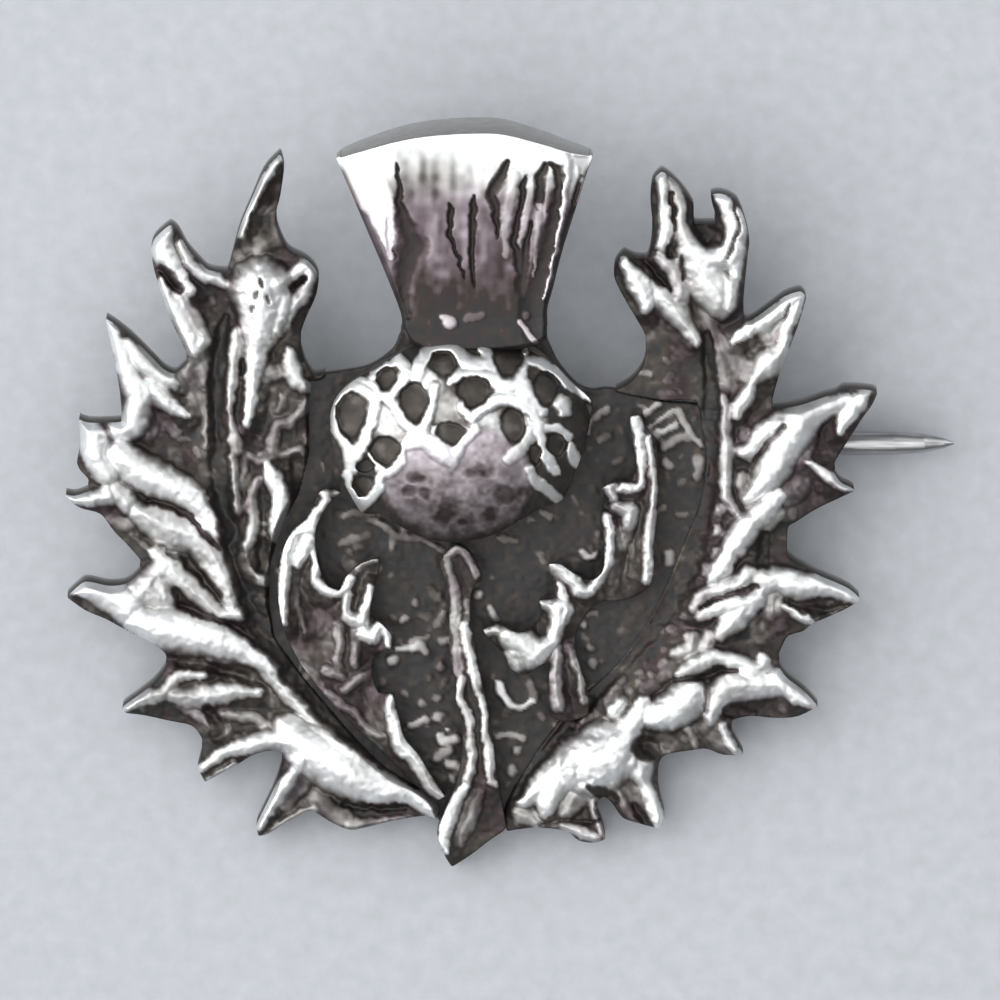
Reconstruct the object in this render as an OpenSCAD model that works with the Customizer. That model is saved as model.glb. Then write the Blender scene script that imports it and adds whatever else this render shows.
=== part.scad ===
// Cast silver thistle brooch, lying on its back as it rests on a table.
// The casting is one piece: a flat back, a leafy edge and a relief of crown, head, leaves and stem.
// Its tables give places as seen from straight above the resting brooch, in millimetres, with y
// towards the top of the flower, and heights above the flat back.

/* [Relief] */
// Height of the head's dome above the flat back
dome_h = 4.3; // [3.9:0.1:4.7]
// Thickness of the ground plate and of the leaves' edges
edge_t = 0.9; // [0.7:0.05:1]
// Height of the crown's face at its top end
crown_top_h = 3.5; // [3.1:0.1:3.9]
// Height of the crown's face at the neck
crown_neck_h = 2.7; // [2.4:0.1:3]
// How much wider the foot of a ridge is than its table says
ridge_spread = 1.18; // [1:0.01:1.4]
// Depth of the drop-shaped pits in the head
pit_depth = 0.5; // [0.3:0.05:0.6]
// Depth of the flutes in the crown
flute_depth = 0.35; // [0.2:0.05:0.5]

/* [Pin] */
// Diameter of the pin wire
wire_d = 1; // [0.9:0.02:1.04]
// Height of the space behind the brooch that the hinge and the catch fill
back_space = 2.3; // [2.2:0.05:2.5]
// Diameter of the hinge rivet
rivet_d = 0.7; // [0.6:0.05:0.8]
// Radial clearance of the pin's eye on the rivet
eye_clearance = 0.05; // [0.03:0.01:0.08]
// Thickness of each hinge ear
ear_t = 0.6; // [0.5:0.05:0.7]
// Gap between the pin's eye and each ear
ear_gap = 0.06; // [0.04:0.01:0.1]
// Gap between the wire and the keeper's slot
keeper_gap = 0.12; // [0.1:0.01:0.15]
// Length of the keeper along the wire
keeper_len = 1.6; // [1.2:0.1:1.8]

/* [Hidden] */

// Places of the pin, along the brooch's own flat back
hinge_x = -9;
keeper_x = 13.4;
neck_x = -7.4;
taper_x = 12.4;
point_start_x = 17.4;
point_x = 19.8;
pin_v = 1.7;
foot_v = -15.12;
wire_cover = 0.45;
pin_w = wire_cover + wire_d / 2 - back_space;
eye_r = back_space + pin_w;
wire_r = wire_d / 2;
rivet_r = rivet_d / 2;
ear_reach = wire_r + ear_gap + ear_t;
solder_depth = 0.3;
hinge_clearance = 0.05;
eye_out_r = eye_r - hinge_clearance;

// Shape of the wire's two ends: how thin it is at the neck and from the taper on, the rows of its
// point (how far past the start of the point, share of the taper's radius) and how blunt it ends
neck_share = 0.93;
blend_share = 0.7;
point_rows = [
    [0, 1],
    [1.2, 0.8],
    [2, 0.42]
];
tip_r = 0.04;
rivet_head_over = 0.2;
rivet_head_t = 0.2;

// The brooch lies on the hinge, the keeper and the tip of the foot, with its top end raised
rest_tilt = atan(back_space / (pin_v - ear_reach - foot_v));
rest_lift = -foot_v * sin(rest_tilt);
foot_tip_y = foot_v * cos(rest_tilt) - edge_t / 2 * sin(rest_tilt);
// Middle of the whole brooch, pin point included, as seen from above
centre_x = 1.96;

pieces_fn = 48;
arc_steps = 3;
path_steps = 3;
tall = 12;

// Column names of the tables
X = 0;
Y = 1;
BOW = 2;
HALF = 2;
HIGH = 3;

// The edge of the brooch, one way round. Columns: x, y, how far the edge to the next row bows out.
left_leaf_edge = [
    [-7.15, 13.7, 0.3],
    [-9.3, 8.95, -0.4],
    [-11.55, 10.85, 0.2],
    [-12.3, 9.75, 0.2],
    [-10.9, 5.35, 0],
    [-11.35, 4.9, 0],
    [-14.2, 7.15, -0.1],
    [-13.5, 3, -0.1],
    [-15.3, 3.15, -0.1],
    [-15.3, 1.3, 0],
    [-14.8, 0.25, -0.1],
    [-15.9, 0.1, 0.3],
    [-14.35, -0.95, 0],
    [-12.7, -2.9, 0],
    [-13.3, -3.45, 0.4],
    [-15.9, -4.15, -0.2],
    [-11.75, -6.8, 0],
    [-13.55, -8.65, 0.1],
    [-10.7, -9.45, -0.2],
    [-10.45, -10.6, 0],
    [-10.5, -11.1, 0.1],
    [-10.2, -11.7, 0],
    [-9, -11.05, -0.2],
    [-7.1, -10.5, 0.1],
    [-8.1, -13.85, 0],
    [-5.95, -12.85, 0],
    [-4.45, -13.6, 0],
    [-1.4, -13.05, 0]
];
foot_edge = [
    [-1.1, -13.3, 0],
    [-0.7, -14.5, 0],
    [-0.3, foot_tip_y, 0],
    [0.45, -14.6, 0],
    [1.15, -14.05, 0]
];
right_leaf_edge = [
    [1.9, -13.65, -0.1],
    [4.2, -13.65, 0.15],
    [5.85, -13.95, 0.1],
    [5.45, -12.5, -0.2],
    [6.1, -12.5, 0.3],
    [8.05, -13.55, 0],
    [8.2, -12.85, -0.1],
    [8.05, -10.75, 0],
    [8.35, -10.55, 0],
    [9.9, -10.35, 0.05],
    [10.55, -10.6, 0.1],
    [11.5, -10.6, -0.15],
    [10.9, -9.2, 0],
    [13.55, -9.05, 0.1],
    [14.5, -8.55, -0.25],
    [12.8, -6.45, -0.2],
    [14.1, -5.45, 0],
    [16.15, -4.3, -0.2],
    [13.1, -2.1, 0],
    [13.1, -1.5, -0.1],
    [16.05, 0.1, -0.1],
    [15, 0.9, -0.15],
    [15.8, 2.5, 0],
    [16.5, 3.45, 0.05],
    [16.7, 4.05, 0.1],
    [15.4, 4.3, -0.1],
    [12.45, 3.5, 0],
    [13.85, 7.85, 0.1],
    [13.6, 8.2, 0],
    [11.35, 7.1, 0.1],
    [11.55, 9.8, 0.2],
    [11.05, 11.8, 0.15],
    [10, 12.05, 0],
    [10.25, 10.9, 0],
    [9.4, 10.9, 0],
    [9.3, 11.6, 0.15],
    [8.05, 12.95, 0.1],
    [7.7, 12.55, 0],
    [7.6, 9.9, 0.05],
    [7.05, 9.5, 0],
    [6.55, 9.7, 0.1],
    [6.2, 9.3, 0.3],
    [7.4, 6.15, -0.45],
    [6.05, 4.2, -0.45],
    [3.95, 5.15, -0.2]
];
neck_edge = [
    [3.45, 7.2, 0],
    [-2.35, 7.2, 0],
    [-2.35, 6.35, -0.1],
    [-3.6, 5.1, -0.05]
];
left_inner_edge = [
    [-4.8, 4.85, 0],
    [-5.8, 4.85, -0.15],
    [-6.35, 6.1, -0.1],
    [-5.65, 7.9, 0.15],
    [-5.65, 8.8, 0.2],
    [-6.9, 9.9, -0.1],
    [-7.3, 10.95, 0.15]
];

// The ridges of the relief. Each ridge is a list of rows: x, y, half width, height.
// Its roof starts a little under the plate's top and its shoulders stand part way up the slope.
eaves_share = 0.9;
shoulder_share = 0.65;
leaf_bodies = [
    [[-8.4, 8.2, 0.7, 1.2], [-9.6, 5.6, 1.3, 1.5], [-10.8, 1.8, 1.9, 1.7], [-10.9, -2.2, 1.8, 1.8],
        [-9.6, -6.4, 1.8, 1.8], [-7, -10, 1.5, 1.8], [-3.6, -12.2, 1, 1.8]],
    [[9.2, 8.6, 0.9, 1.3], [10.9, 4.8, 1.3, 1.6], [12, 0.8, 1.6, 1.7], [11.4, -3.8, 1.6, 1.8],
        [9.6, -7.8, 1.5, 1.8], [6.2, -10.8, 1.3, 1.8], [3.2, -12.6, 0.8, 1.7]],
    [[-6.8, 0.4, 0.5, 1.3], [-6.2, -3.4, 0.9, 1.7], [-5, -6.6, 1.2, 1.8], [-2.8, -10, 0.6, 1.5]],
    [[7.2, 1.8, 0.4, 1.4], [6.4, -1.8, 0.9, 1.8], [5, -5, 1, 1.8], [3.8, -8.6, 0.7, 1.5]]
];
left_leaf_ridges = [
    [[-8, 8.6, 0.9, 1.6], [-7.7, 10.8, 0.75, 2.1], [-7.25, 13.4, 0.15, 1.1]],
    [[-9.3, 6, 0.9, 1.3], [-10.6, 7.9, 1, 2.1], [-11.8, 10.2, 0.55, 1.5]],
    [[-9.8, 3.4, 1, 1.4], [-12.1, 4.9, 1, 2.2], [-14.05, 6.95, 0.2, 1.1]],
    [[-9.8, 1.6, 0.9, 1.4], [-12.2, 2, 1.2, 2.3], [-15.1, 2.4, 0.8, 1.4]],
    [[-9, -3.6, 1, 1.5], [-10.6, -1.2, 1.2, 2.5], [-13.2, 0.1, 1, 2.2], [-15.7, 0.15, 0.25, 1.1]],
    [[-8.1, -6.2, 0.9, 1.5], [-10.6, -5.4, 1.2, 2.6], [-13.2, -4.4, 0.9, 2.2], [-15.7, -4.15, 0.3, 1.1]],
    [[-7.3, -8.2, 0.7, 1.5], [-9.8, -7.9, 0.9, 2.3], [-11.8, -8.3, 0.7, 1.9], [-13.3, -8.55, 0.2, 1.1]],
    [[-5.6, -9.8, 0.9, 1.5], [-8, -9.9, 0.8, 2.3], [-10.1, -11.2, 0.4, 1.2]],
    [[-4.4, -10.6, 1, 1.6], [-6.4, -11.3, 1, 2.4], [-8, -13.6, 0.25, 1.1]],
    [[-1.8, -12.4, 0.6, 1.7], [-4.2, -12, 1.1, 2.3], [-6.8, -11.3, 0.9, 2]],
    [[-7.7, 2.6, 0.6, 1.7], [-7.2, 5.6, 1, 2.3], [-6.6, 9, 0.7, 2]],
    [[-7.4, 5.2, 0.4, 1.6], [-6.4, 5.3, 0.5, 2], [-5.6, 4.6, 0.3, 1.3]],
    [[-8.6, -1.6, 0.5, 1.5], [-8.2, 0.8, 0.6, 1.8], [-7.7, 3.2, 0.5, 1.8]]
];
right_leaf_ridges = [
    [[8.6, 4.8, 0.7, 1.5], [7.8, 7, 0.8, 2.1], [6.6, 9.1, 0.45, 1.4]],
    [[9, 6.2, 0.8, 1.5], [8.4, 9.4, 0.8, 2.2], [8.1, 12.6, 0.4, 1.3]],
    [[10.2, 5.4, 0.7, 1.5], [10.9, 8.4, 0.7, 2.1], [11, 10.8, 0.45, 1.9], [10.35, 11.8, 0.3, 1.3]],
    [[10.6, 3.6, 0.9, 1.5], [12, 5.6, 1, 2.1], [13.6, 7.8, 0.35, 1.2]],
    [[10.7, -1.4, 0.9, 1.6], [12, 1, 1.2, 2.6], [13.9, 2.8, 1, 2.3], [16.3, 4, 0.4, 1.2]],
    [[10.9, -3, 0.8, 1.5], [12.9, -0.9, 0.7, 2.1], [15.8, 0.1, 0.25, 1.1]],
    [[9.8, -5, 0.9, 1.6], [12.2, -3.9, 1.1, 2.5], [14.2, -4, 0.8, 1.9], [15.9, -4.25, 0.25, 1.1]],
    [[6.6, -9.4, 0.9, 1.6], [9.8, -7.7, 1.1, 2.5], [12.2, -7.4, 0.9, 2.2], [14.3, -8.5, 0.25, 1.1]],
    [[7.6, -9, 0.6, 1.5], [9.6, -9.6, 0.6, 1.8], [11.3, -10.5, 0.2, 1.1]],
    [[5.2, -10.1, 0.8, 1.6], [7.3, -11.1, 0.7, 2.2], [8, -13.3, 0.25, 1.1]],
    [[2.4, -13, 0.5, 1.7], [4.2, -11.7, 1.1, 2.4], [6.4, -10, 0.9, 2.2]],
    [[10, -7, 0.8, 1.6], [10.8, -4.6, 0.8, 2.2], [12.4, -1.6, 0.6, 2.1]],
    [[9.3, 3, 0.5, 1.6], [9.1, 5.4, 0.5, 2], [9, 7.8, 0.4, 1.6]],
    [[10.55, 3.8, 0.35, 1.6], [10.65, -0.2, 0.35, 1.8], [11.1, -1.2, 0.3, 1.6]]
];
small_leaf_ridges = [
    [[-5.5, -0.2, 0.35, 1.8], [-6.5, -1.9, 0.45, 2.5], [-7.1, -3.4, 0.6, 2.7], [-6.8, -5.6, 0.5, 2.3]],
    [[-4, -3, 0.3, 2], [-4.4, -4.1, 0.5, 2.7], [-5, -4.9, 0.4, 2.4]],
    [[-5.4, -4.8, 0.4, 2.4], [-5.7, -4, 0.45, 2.5], [-5.8, -2.9, 0.35, 2.2]],
    [[-3.3, -4, 0.25, 2], [-3.9, -5.2, 0.5, 2.6], [-4.2, -7.4, 0.6, 2.2], [-3, -9.2, 0.4, 1.8]],
    [[-5.6, -4.6, 0.7, 2.5], [-5.2, -6.8, 0.9, 2.4], [-3.6, -9.2, 0.6, 1.9], [-1.8, -11.6, 0.3, 1.6]],
    [[-7.7, 1, 0.3, 1.6], [-7.3, -0.6, 0.35, 2], [-7.1, -2.2, 0.3, 2]],
    [[7, 2.8, 0.3, 2], [7.4, 0.4, 0.45, 2.6], [7.4, -1.8, 0.5, 2.7], [6.6, -4.6, 0.5, 2.2]],
    [[5.8, -0.1, 0.3, 2], [6.1, -1.6, 0.5, 2.6], [5.8, -3.4, 0.6, 2.5], [4.6, -5.6, 0.6, 2.2]],
    [[3.6, -2.9, 0.25, 2], [4.6, -4.3, 0.4, 2.6], [5.3, -3.9, 0.4, 2.5]],
    [[3.2, -4.4, 0.25, 2], [4.1, -5.8, 0.5, 2.6], [4.3, -8, 0.4, 2.2], [3.6, -10.2, 0.3, 1.7]],
    [[1.4, -5.5, 0.35, 2], [2.4, -6.3, 0.8, 2.8], [3, -7.4, 0.6, 2.5], [2.9, -8.8, 0.3, 1.8]]
];
stem_ridges = [
    [[0.1, -2.4, 0.5, 2.6], [0, -5, 0.5, 2.3], [0.3, -8, 0.5, 2.2], [0.85, -10.6, 0.5, 2.3],
        [0.8, -12.2, 0.6, 2.4]],
    [[0.8, -11.8, 0.6, 2.4], [0.45, -13.2, 0.9, 2.6], [-0.25, -14.9, 0.25, 1.1]]
];

// The head: a dome with drop-shaped pits. Columns: x, y, half width, half height.
dome_x = 0;
dome_y = 2.1;
dome_rx = 5.25;
dome_ry = 4;
dome_base = 0.6;
dome_waist = 1.6;
dome_fn = 40;
pit_fn = 8;
pit_shoulder = 0.2;
pit_floor_share = 0.75;
pit_flare = 1.9;
head_pits = [
    [-2.9, 4.3, 0.45, 0.4],
    [-0.75, 4.95, 0.6, 0.55],
    [1.9, 5.25, 0.65, 0.6],
    [-4.3, 2.9, 0.65, 0.85],
    [-1.85, 3.5, 0.65, 0.75],
    [0.5, 3.85, 0.65, 0.7],
    [3.45, 4, 0.6, 0.7],
    [-2.9, 1.75, 0.5, 0.55],
    [-0.4, 2.25, 0.5, 0.4],
    [2.1, 2.55, 0.55, 0.65],
    [3.85, 1.5, 0.45, 0.55],
    [-3.9, 0.25, 0.5, 0.5]
];

// The crown, from the left corner to the right one.
// Columns: x at the neck, x at the top, y of the top end's front edge and of its back edge,
// share of the face's height.
NECK_X = 0;
TOP_X = 1;
FRONT_Y = 2;
BACK_Y = 3;
SHARE = 4;
crown_neck_y = 6.9;
crown_rows = [
    [-2.3, -4.95, 13.3, 13.8, 0.5],
    [-2, -2.85, 13.6, 14.7, 1],
    [-1.75, -2.45, 13.5, 14.8, 0.9],
    [-1.2, -1.1, 14.05, 15, 0.97],
    [0, 0.5, 14.25, 15.08, 1],
    [1.5, 2.2, 14.1, 14.9, 1],
    [2.95, 4, 13.6, 14.3, 0.97],
    [3.15, 4.25, 13.5, 14.2, 0.88],
    [3.4, 5.35, 13.4, 13.65, 0.5]
];
// The flutes of the crown. Columns: x and y of the lower end, x and y of the upper end, half width.
LOW_X = 0;
LOW_Y = 1;
UP_X = 2;
UP_Y = 3;
FLUTE = 4;
flute_reach = 0.4;
flute_run_out = 0.15;
flute_end_share = 0.3;
crown_flutes = [
    [-1.6, 7.2, -1.9, 10.4, 0.35],
    [-0.35, 7.6, -0.35, 10.8, 0.2],
    [0.45, 7.6, 0.45, 10.9, 0.2],
    [1.35, 7.4, 1.45, 11.4, 0.3],
    [2.4, 7.4, 2.55, 11.6, 0.25],
    [3.05, 7.2, 3.4, 11.8, 0.2]
];

// Raised grains on the ground plate, in staggered rows. Columns: first and last x, first and last y.
FROM_X = 0;
TO_X = 1;
FROM_Y = 2;
TO_Y = 3;
grain_fields = [
    [-2.6, -0.8, -12, -4],
    [2, 3.2, -12, -9.2],
    [5.4, 9, -8, -3.4],
    [-6.8, -4.8, 1, 2.6]
];
grain_pitch = 0.75;
grain_r = 0.3;
grain_h = 0.35;
grain_fn = 6;
grain_sink = 0.45;
grain_top_share = 0.4;

// A point seen from above, at a height over the flat back, in the brooch's own tilted frame
function on_back(x, y, w) = [x, (y + w * sin(rest_tilt)) / cos(rest_tilt), w];
function flat_point(row) = let (p = on_back(row[X], row[Y], edge_t / 2)) [p.x, p.y];

// Points of an arc from a to b that bows out by the given amount, without its last point
function arc_between(a, b, bow) =
    let (
        along = b - a,
        out = [along.y, -along.x] / norm(along)
    )
    abs(bow) < 0.01 ? [a] : [
        for (i = [0 : arc_steps - 1])
            let (t = i / arc_steps) a + along * t + out * (4 * bow * t * (1 - t))
    ];

function bowed_outline(rows) = [
    for (i = [0 : len(rows) - 1])
        each arc_between(flat_point(rows[i]), flat_point(rows[(i + 1) % len(rows)]), rows[i][BOW])
];

// A smooth curve through the rows of a table, all columns alike
function curve_at(a, b, c, d, t) =
    0.5 * (2 * b + (c - a) * t + (2 * a - 5 * b + 4 * c - d) * t ^ 2 + (3 * b - a - 3 * c + d) * t ^ 3);

function smooth_rows(rows) = let (last = len(rows) - 1) [
    for (i = [0 : last - 1])
        for (k = [0 : path_steps - 1])
            curve_at(rows[max(i - 1, 0)], rows[i], rows[i + 1], rows[min(i + 2, last)], k / path_steps),
    rows[last]
];

function heading(rows, i) =
    let (
        a = rows[max(i - 1, 0)],
        b = rows[min(i + 1, len(rows) - 1)],
        d = [b[X] - a[X], b[Y] - a[Y]]
    )
    d / norm(d);

// One section of a ridge: a roof over the flat back, seen along the ridge
function roof_section(row, dir) =
    let (
        side = [dir.y, -dir.x] * row[HALF] * ridge_spread,
        foot = on_back(row[X], row[Y], edge_t),
        crest = on_back(row[X], row[Y], row[HIGH]),
        shoulder = (foot + crest) / 2,
        low = edge_t * eaves_share,
        half_way = low + (row[HIGH] - low) * shoulder_share
    ) [
        [foot.x - side.x, foot.y - side.y, 0],
        [foot.x - side.x, foot.y - side.y, low],
        [shoulder.x - side.x / 2, shoulder.y - side.y / 2, half_way],
        crest,
        [shoulder.x + side.x / 2, shoulder.y + side.y / 2, half_way],
        [foot.x + side.x, foot.y + side.y, low],
        [foot.x + side.x, foot.y + side.y, 0]
    ];

module skin(sections) {
    n = len(sections[0]);
    last = len(sections) - 1;
    sides = [
        for (i = [0 : last - 1])
            for (j = [0 : n - 1])
                let (k = (j + 1) % n)
                each [
                    [i * n + j, (i + 1) * n + j, (i + 1) * n + k],
                    [i * n + j, (i + 1) * n + k, i * n + k]
                ]
    ];
    caps = [
        [for (j = [0 : n - 1]) j],
        [for (j = [n - 1 : -1 : 0]) last * n + j]
    ];
    polyhedron(points = [for (s = sections) each s], faces = concat(sides, caps));
}

module ridge(rows) {
    path = smooth_rows(rows);
    skin([for (i = [0 : len(path) - 1]) roof_section(path[i], heading(path, i))]);
}

module ridges(table) {
    for (rows = table)
        ridge(rows);
}

module outline() {
    polygon(bowed_outline(concat(
        left_leaf_edge, foot_edge, right_leaf_edge, neck_edge, left_inner_edge
    )));
}

module leaves() {
    linear_extrude(edge_t)
        outline();
    intersection() {
        linear_extrude(tall)
            outline();
        union() {
            ridges(leaf_bodies);
            ridges(left_leaf_ridges);
            ridges(right_leaf_ridges);
        }
    }
}

// A pit: a drop with its point towards the stem, sunk into the dome
module pit(row) {
    rise = sqrt(1 - ((row[X] - dome_x) / dome_rx) ^ 2 - ((row[Y] - dome_y) / dome_ry) ^ 2);
    surface = dome_base + (dome_h - dome_base) * rise;
    place = on_back(row[X], row[Y], surface);
    drop = [
        for (i = [0 : pit_fn - 1])
            let (
                a = 180 * i / (pit_fn - 1),
                up = pit_shoulder + (1 - pit_shoulder) * sin(a)
            )
            [row[HALF] * cos(a), row[HIGH] * up],
        [0, -row[HIGH]]
    ];
    translate([place.x, place.y, surface - pit_depth])
        linear_extrude(height = 3 * pit_depth, scale = pit_flare)
            scale(pit_floor_share)
                polygon(drop);
}

module head() {
    middle = on_back(dome_x, dome_y, dome_waist);
    difference() {
        intersection() {
            translate([middle.x, middle.y, dome_base])
                scale([dome_rx, dome_ry, dome_h - dome_base])
                    sphere(r = 1, $fn = dome_fn);
            translate([-tall, -tall, 0])
                cube([2 * tall, 3 * tall, tall]);
        }
        for (row = head_pits)
            pit(row);
    }
}

module crown() {
    difference() {
        skin([for (row = crown_rows) crown_section(row)]);
        for (row = crown_flutes)
            flute(row);
    }
}

// A section of the crown in the plane from its neck to its top end, seen from the right
function crown_section(row) =
    let (
        neck_h = crown_neck_h * row[SHARE],
        top_h = crown_top_h * row[SHARE],
        neck = on_back(row[NECK_X], crown_neck_y - 1, edge_t),
        face = on_back(row[NECK_X], crown_neck_y, neck_h),
        front = on_back(row[TOP_X], row[FRONT_Y], top_h),
        back = on_back(row[TOP_X], row[BACK_Y], 0)
    ) [
        back,
        [back.x, back.y, edge_t],
        front,
        face,
        [neck.x, neck.y, neck_h],
        [neck.x, neck.y, 0]
    ];

// Height of the crown's face at a place between its neck and its top end
function face_height(y) =
    crown_neck_h + (crown_top_h - crown_neck_h) * (y - crown_neck_y) / (crown_rows[4][FRONT_Y] - crown_neck_y);

// A section of a flute: a notch in the crown's face that opens above it
function flute_section(x, y, half, depth) =
    let (
        h = face_height(y),
        bottom = on_back(x, y, h - depth),
        slope = depth + flute_reach
    ) [
        [bottom.x - half * slope / flute_depth, bottom.y, bottom.z + slope],
        [bottom.x + half * slope / flute_depth, bottom.y, bottom.z + slope],
        bottom
    ];

module flute(row) {
    end_x = row[UP_X] + (row[UP_X] - row[LOW_X]) * flute_run_out;
    end_y = row[UP_Y] + (row[UP_Y] - row[LOW_Y]) * flute_run_out;
    skin([
        flute_section(row[LOW_X], row[LOW_Y], row[FLUTE], flute_depth),
        flute_section(row[UP_X], row[UP_Y], row[FLUTE], flute_depth),
        flute_section(end_x, end_y, row[FLUTE] * flute_end_share, 0)
    ]);
}

module grains() {
    for (field = grain_fields)
        for (row = [0 : floor((field[TO_Y] - field[FROM_Y]) / grain_pitch)])
            for (col = [0 : floor((field[TO_X] - field[FROM_X]) / grain_pitch)]) {
                x = field[FROM_X] + (col + (row % 2) / 2) * grain_pitch;
                place = on_back(x, field[FROM_Y] + row * grain_pitch, edge_t);
                translate([place.x, place.y, edge_t - grain_sink])
                    cylinder(
                        r1 = grain_r, r2 = grain_r * grain_top_share,
                        h = grain_sink + grain_h, $fn = grain_fn
                    );
            }
}

module relief() {
    resize([0, 0, dome_h])
        union() {
            leaves();
            crown();
            head();
            ridges(small_leaf_ridges);
            ridges(stem_ridges);
            grains();
        }
}

// Turns a piece drawn in the (x, w) plane so that it reaches from v0 to v1
module across(v0, v1) {
    translate([0, v1, 0])
        rotate([90, 0, 0])
            linear_extrude(v1 - v0)
                children();
}

module hinge_ears() {
    for (side = [-1, 1])
        let (middle = pin_v + side * (wire_r + ear_gap + ear_t / 2))
            difference() {
                across(middle - ear_t / 2, middle + ear_t / 2) {
                    translate([hinge_x, pin_w])
                        circle(r = eye_r, $fn = pieces_fn);
                    translate([hinge_x - eye_r, pin_w])
                        square([2 * eye_r, solder_depth - pin_w]);
                }
                across(middle - ear_t, middle + ear_t)
                    translate([hinge_x, pin_w])
                        circle(r = rivet_r, $fn = pieces_fn);
            }
}

// The keeper: a block with a round-topped slot that opens away from the back
module keeper() {
    slot_r = wire_r + keeper_gap;
    translate([keeper_x - keeper_len / 2, pin_v, 0])
        rotate([90, 0, 90])
            linear_extrude(keeper_len)
                difference() {
                    translate([-ear_reach, -back_space])
                        square([2 * ear_reach, back_space + solder_depth]);
                    translate([0, pin_w])
                        circle(r = slot_r, $fn = pieces_fn);
                    translate([-slot_r, -back_space - 1])
                        square([2 * slot_r, back_space + 1 + pin_w]);
                }
}

// Lays the brooch on its back on the ground, with the origin under its middle
module at_rest() {
    translate([-centre_x, 0, rest_lift])
        rotate([rest_tilt, 0, 0])
            children();
}

module casting() {
    color([0.72, 0.73, 0.75])
        at_rest() {
            relief();
            hinge_ears();
            keeper();
        }
}

module pin_stem() {
    thin_r = wire_r * neck_share;
    eye_hole_r = rivet_r + eye_clearance;
    blend_x = hinge_x + eye_out_r * blend_share;
    color([0.8, 0.8, 0.82])
        at_rest()
            translate([0, pin_v, pin_w]) {
                difference() {
                    across(-wire_r, wire_r)
                        translate([hinge_x, 0])
                            circle(r = eye_out_r, $fn = pieces_fn);
                    across(-wire_r - 1, wire_r + 1)
                        translate([hinge_x, 0])
                            circle(r = eye_hole_r, $fn = pieces_fn);
                }
                rotate([0, 90, 0])
                    rotate_extrude($fn = pieces_fn)
                        polygon([
                            [0, blend_x],
                            [thin_r, blend_x],
                            [wire_r, neck_x],
                            [wire_r, taper_x],
                            for (row = point_rows) [thin_r * row[1], point_start_x + row[0]],
                            [tip_r, point_x],
                            [0, point_x]
                        ]);
            }
}

module hinge_rivet() {
    head_r = rivet_r + rivet_head_over;
    color([0.7, 0.7, 0.72])
        at_rest()
            translate([0, pin_v, pin_w]) {
                across(-ear_reach, ear_reach)
                    translate([hinge_x, 0])
                        circle(r = rivet_r, $fn = pieces_fn);
                for (from = [-ear_reach - rivet_head_t, ear_reach])
                    across(from, from + rivet_head_t)
                        translate([hinge_x, 0])
                            circle(r = head_r, $fn = pieces_fn);
            }
}

casting();
pin_stem();
hinge_rivet();
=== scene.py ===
import math
import bpy
import numpy as np
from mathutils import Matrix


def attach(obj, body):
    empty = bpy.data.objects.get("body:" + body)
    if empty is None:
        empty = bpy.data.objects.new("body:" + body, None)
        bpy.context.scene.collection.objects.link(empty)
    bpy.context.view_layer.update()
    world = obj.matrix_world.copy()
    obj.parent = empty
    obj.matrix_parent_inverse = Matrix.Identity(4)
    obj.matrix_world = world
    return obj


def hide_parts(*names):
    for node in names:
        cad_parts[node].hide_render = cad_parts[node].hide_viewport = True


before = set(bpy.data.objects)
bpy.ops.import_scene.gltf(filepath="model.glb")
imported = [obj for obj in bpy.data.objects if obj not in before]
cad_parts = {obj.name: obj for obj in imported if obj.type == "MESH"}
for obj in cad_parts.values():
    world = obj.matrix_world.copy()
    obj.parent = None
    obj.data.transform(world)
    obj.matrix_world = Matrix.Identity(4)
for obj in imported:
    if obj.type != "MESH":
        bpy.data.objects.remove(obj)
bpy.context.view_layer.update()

# Left leaf: the big spiny leaf left of the head, a part of the one silver casting.
# It is sand cast in relief, with a deep channel along its rib, then darkened all over
# and rubbed bright again on everything that stands high.
MM = 0.001
PX_MM = 0.04
ORIGIN_PX = (460, 490)
ROW_SHIFT = -1.96
REST_TILT = math.radians(8.355)
REST_LIFT = 2.1971
TILT_SIN = math.sin(REST_TILT)
TILT_COS = math.cos(REST_TILT)
RIM_MM = 0.08
LEAST_THICKNESS_MM = 3 * RIM_MM
LEAF_PITCH_PX = 1.7
LEAF_EDGE_MM = 1.9
LEAF_FLOOR_MM = 1.05
LEAF_TOP_MM = 2.35
LEAF_GRAIN_GAP_PX = 15
LEAF_GRAIN_LEVEL = 0.45
BACK_PATINA = 0.3
WALL_PATINA = 1.0
CURVE_STEPS = 4
# added to what is divided by, so that it is never zero
LEAST_SIZE = 1e-9
LEAST_SQUARE = 1e-12
# a line that turns past a right angle by more than this, as a cosine, has no tangent there and keeps its tip
TIP_COSINE = 0.2


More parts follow.
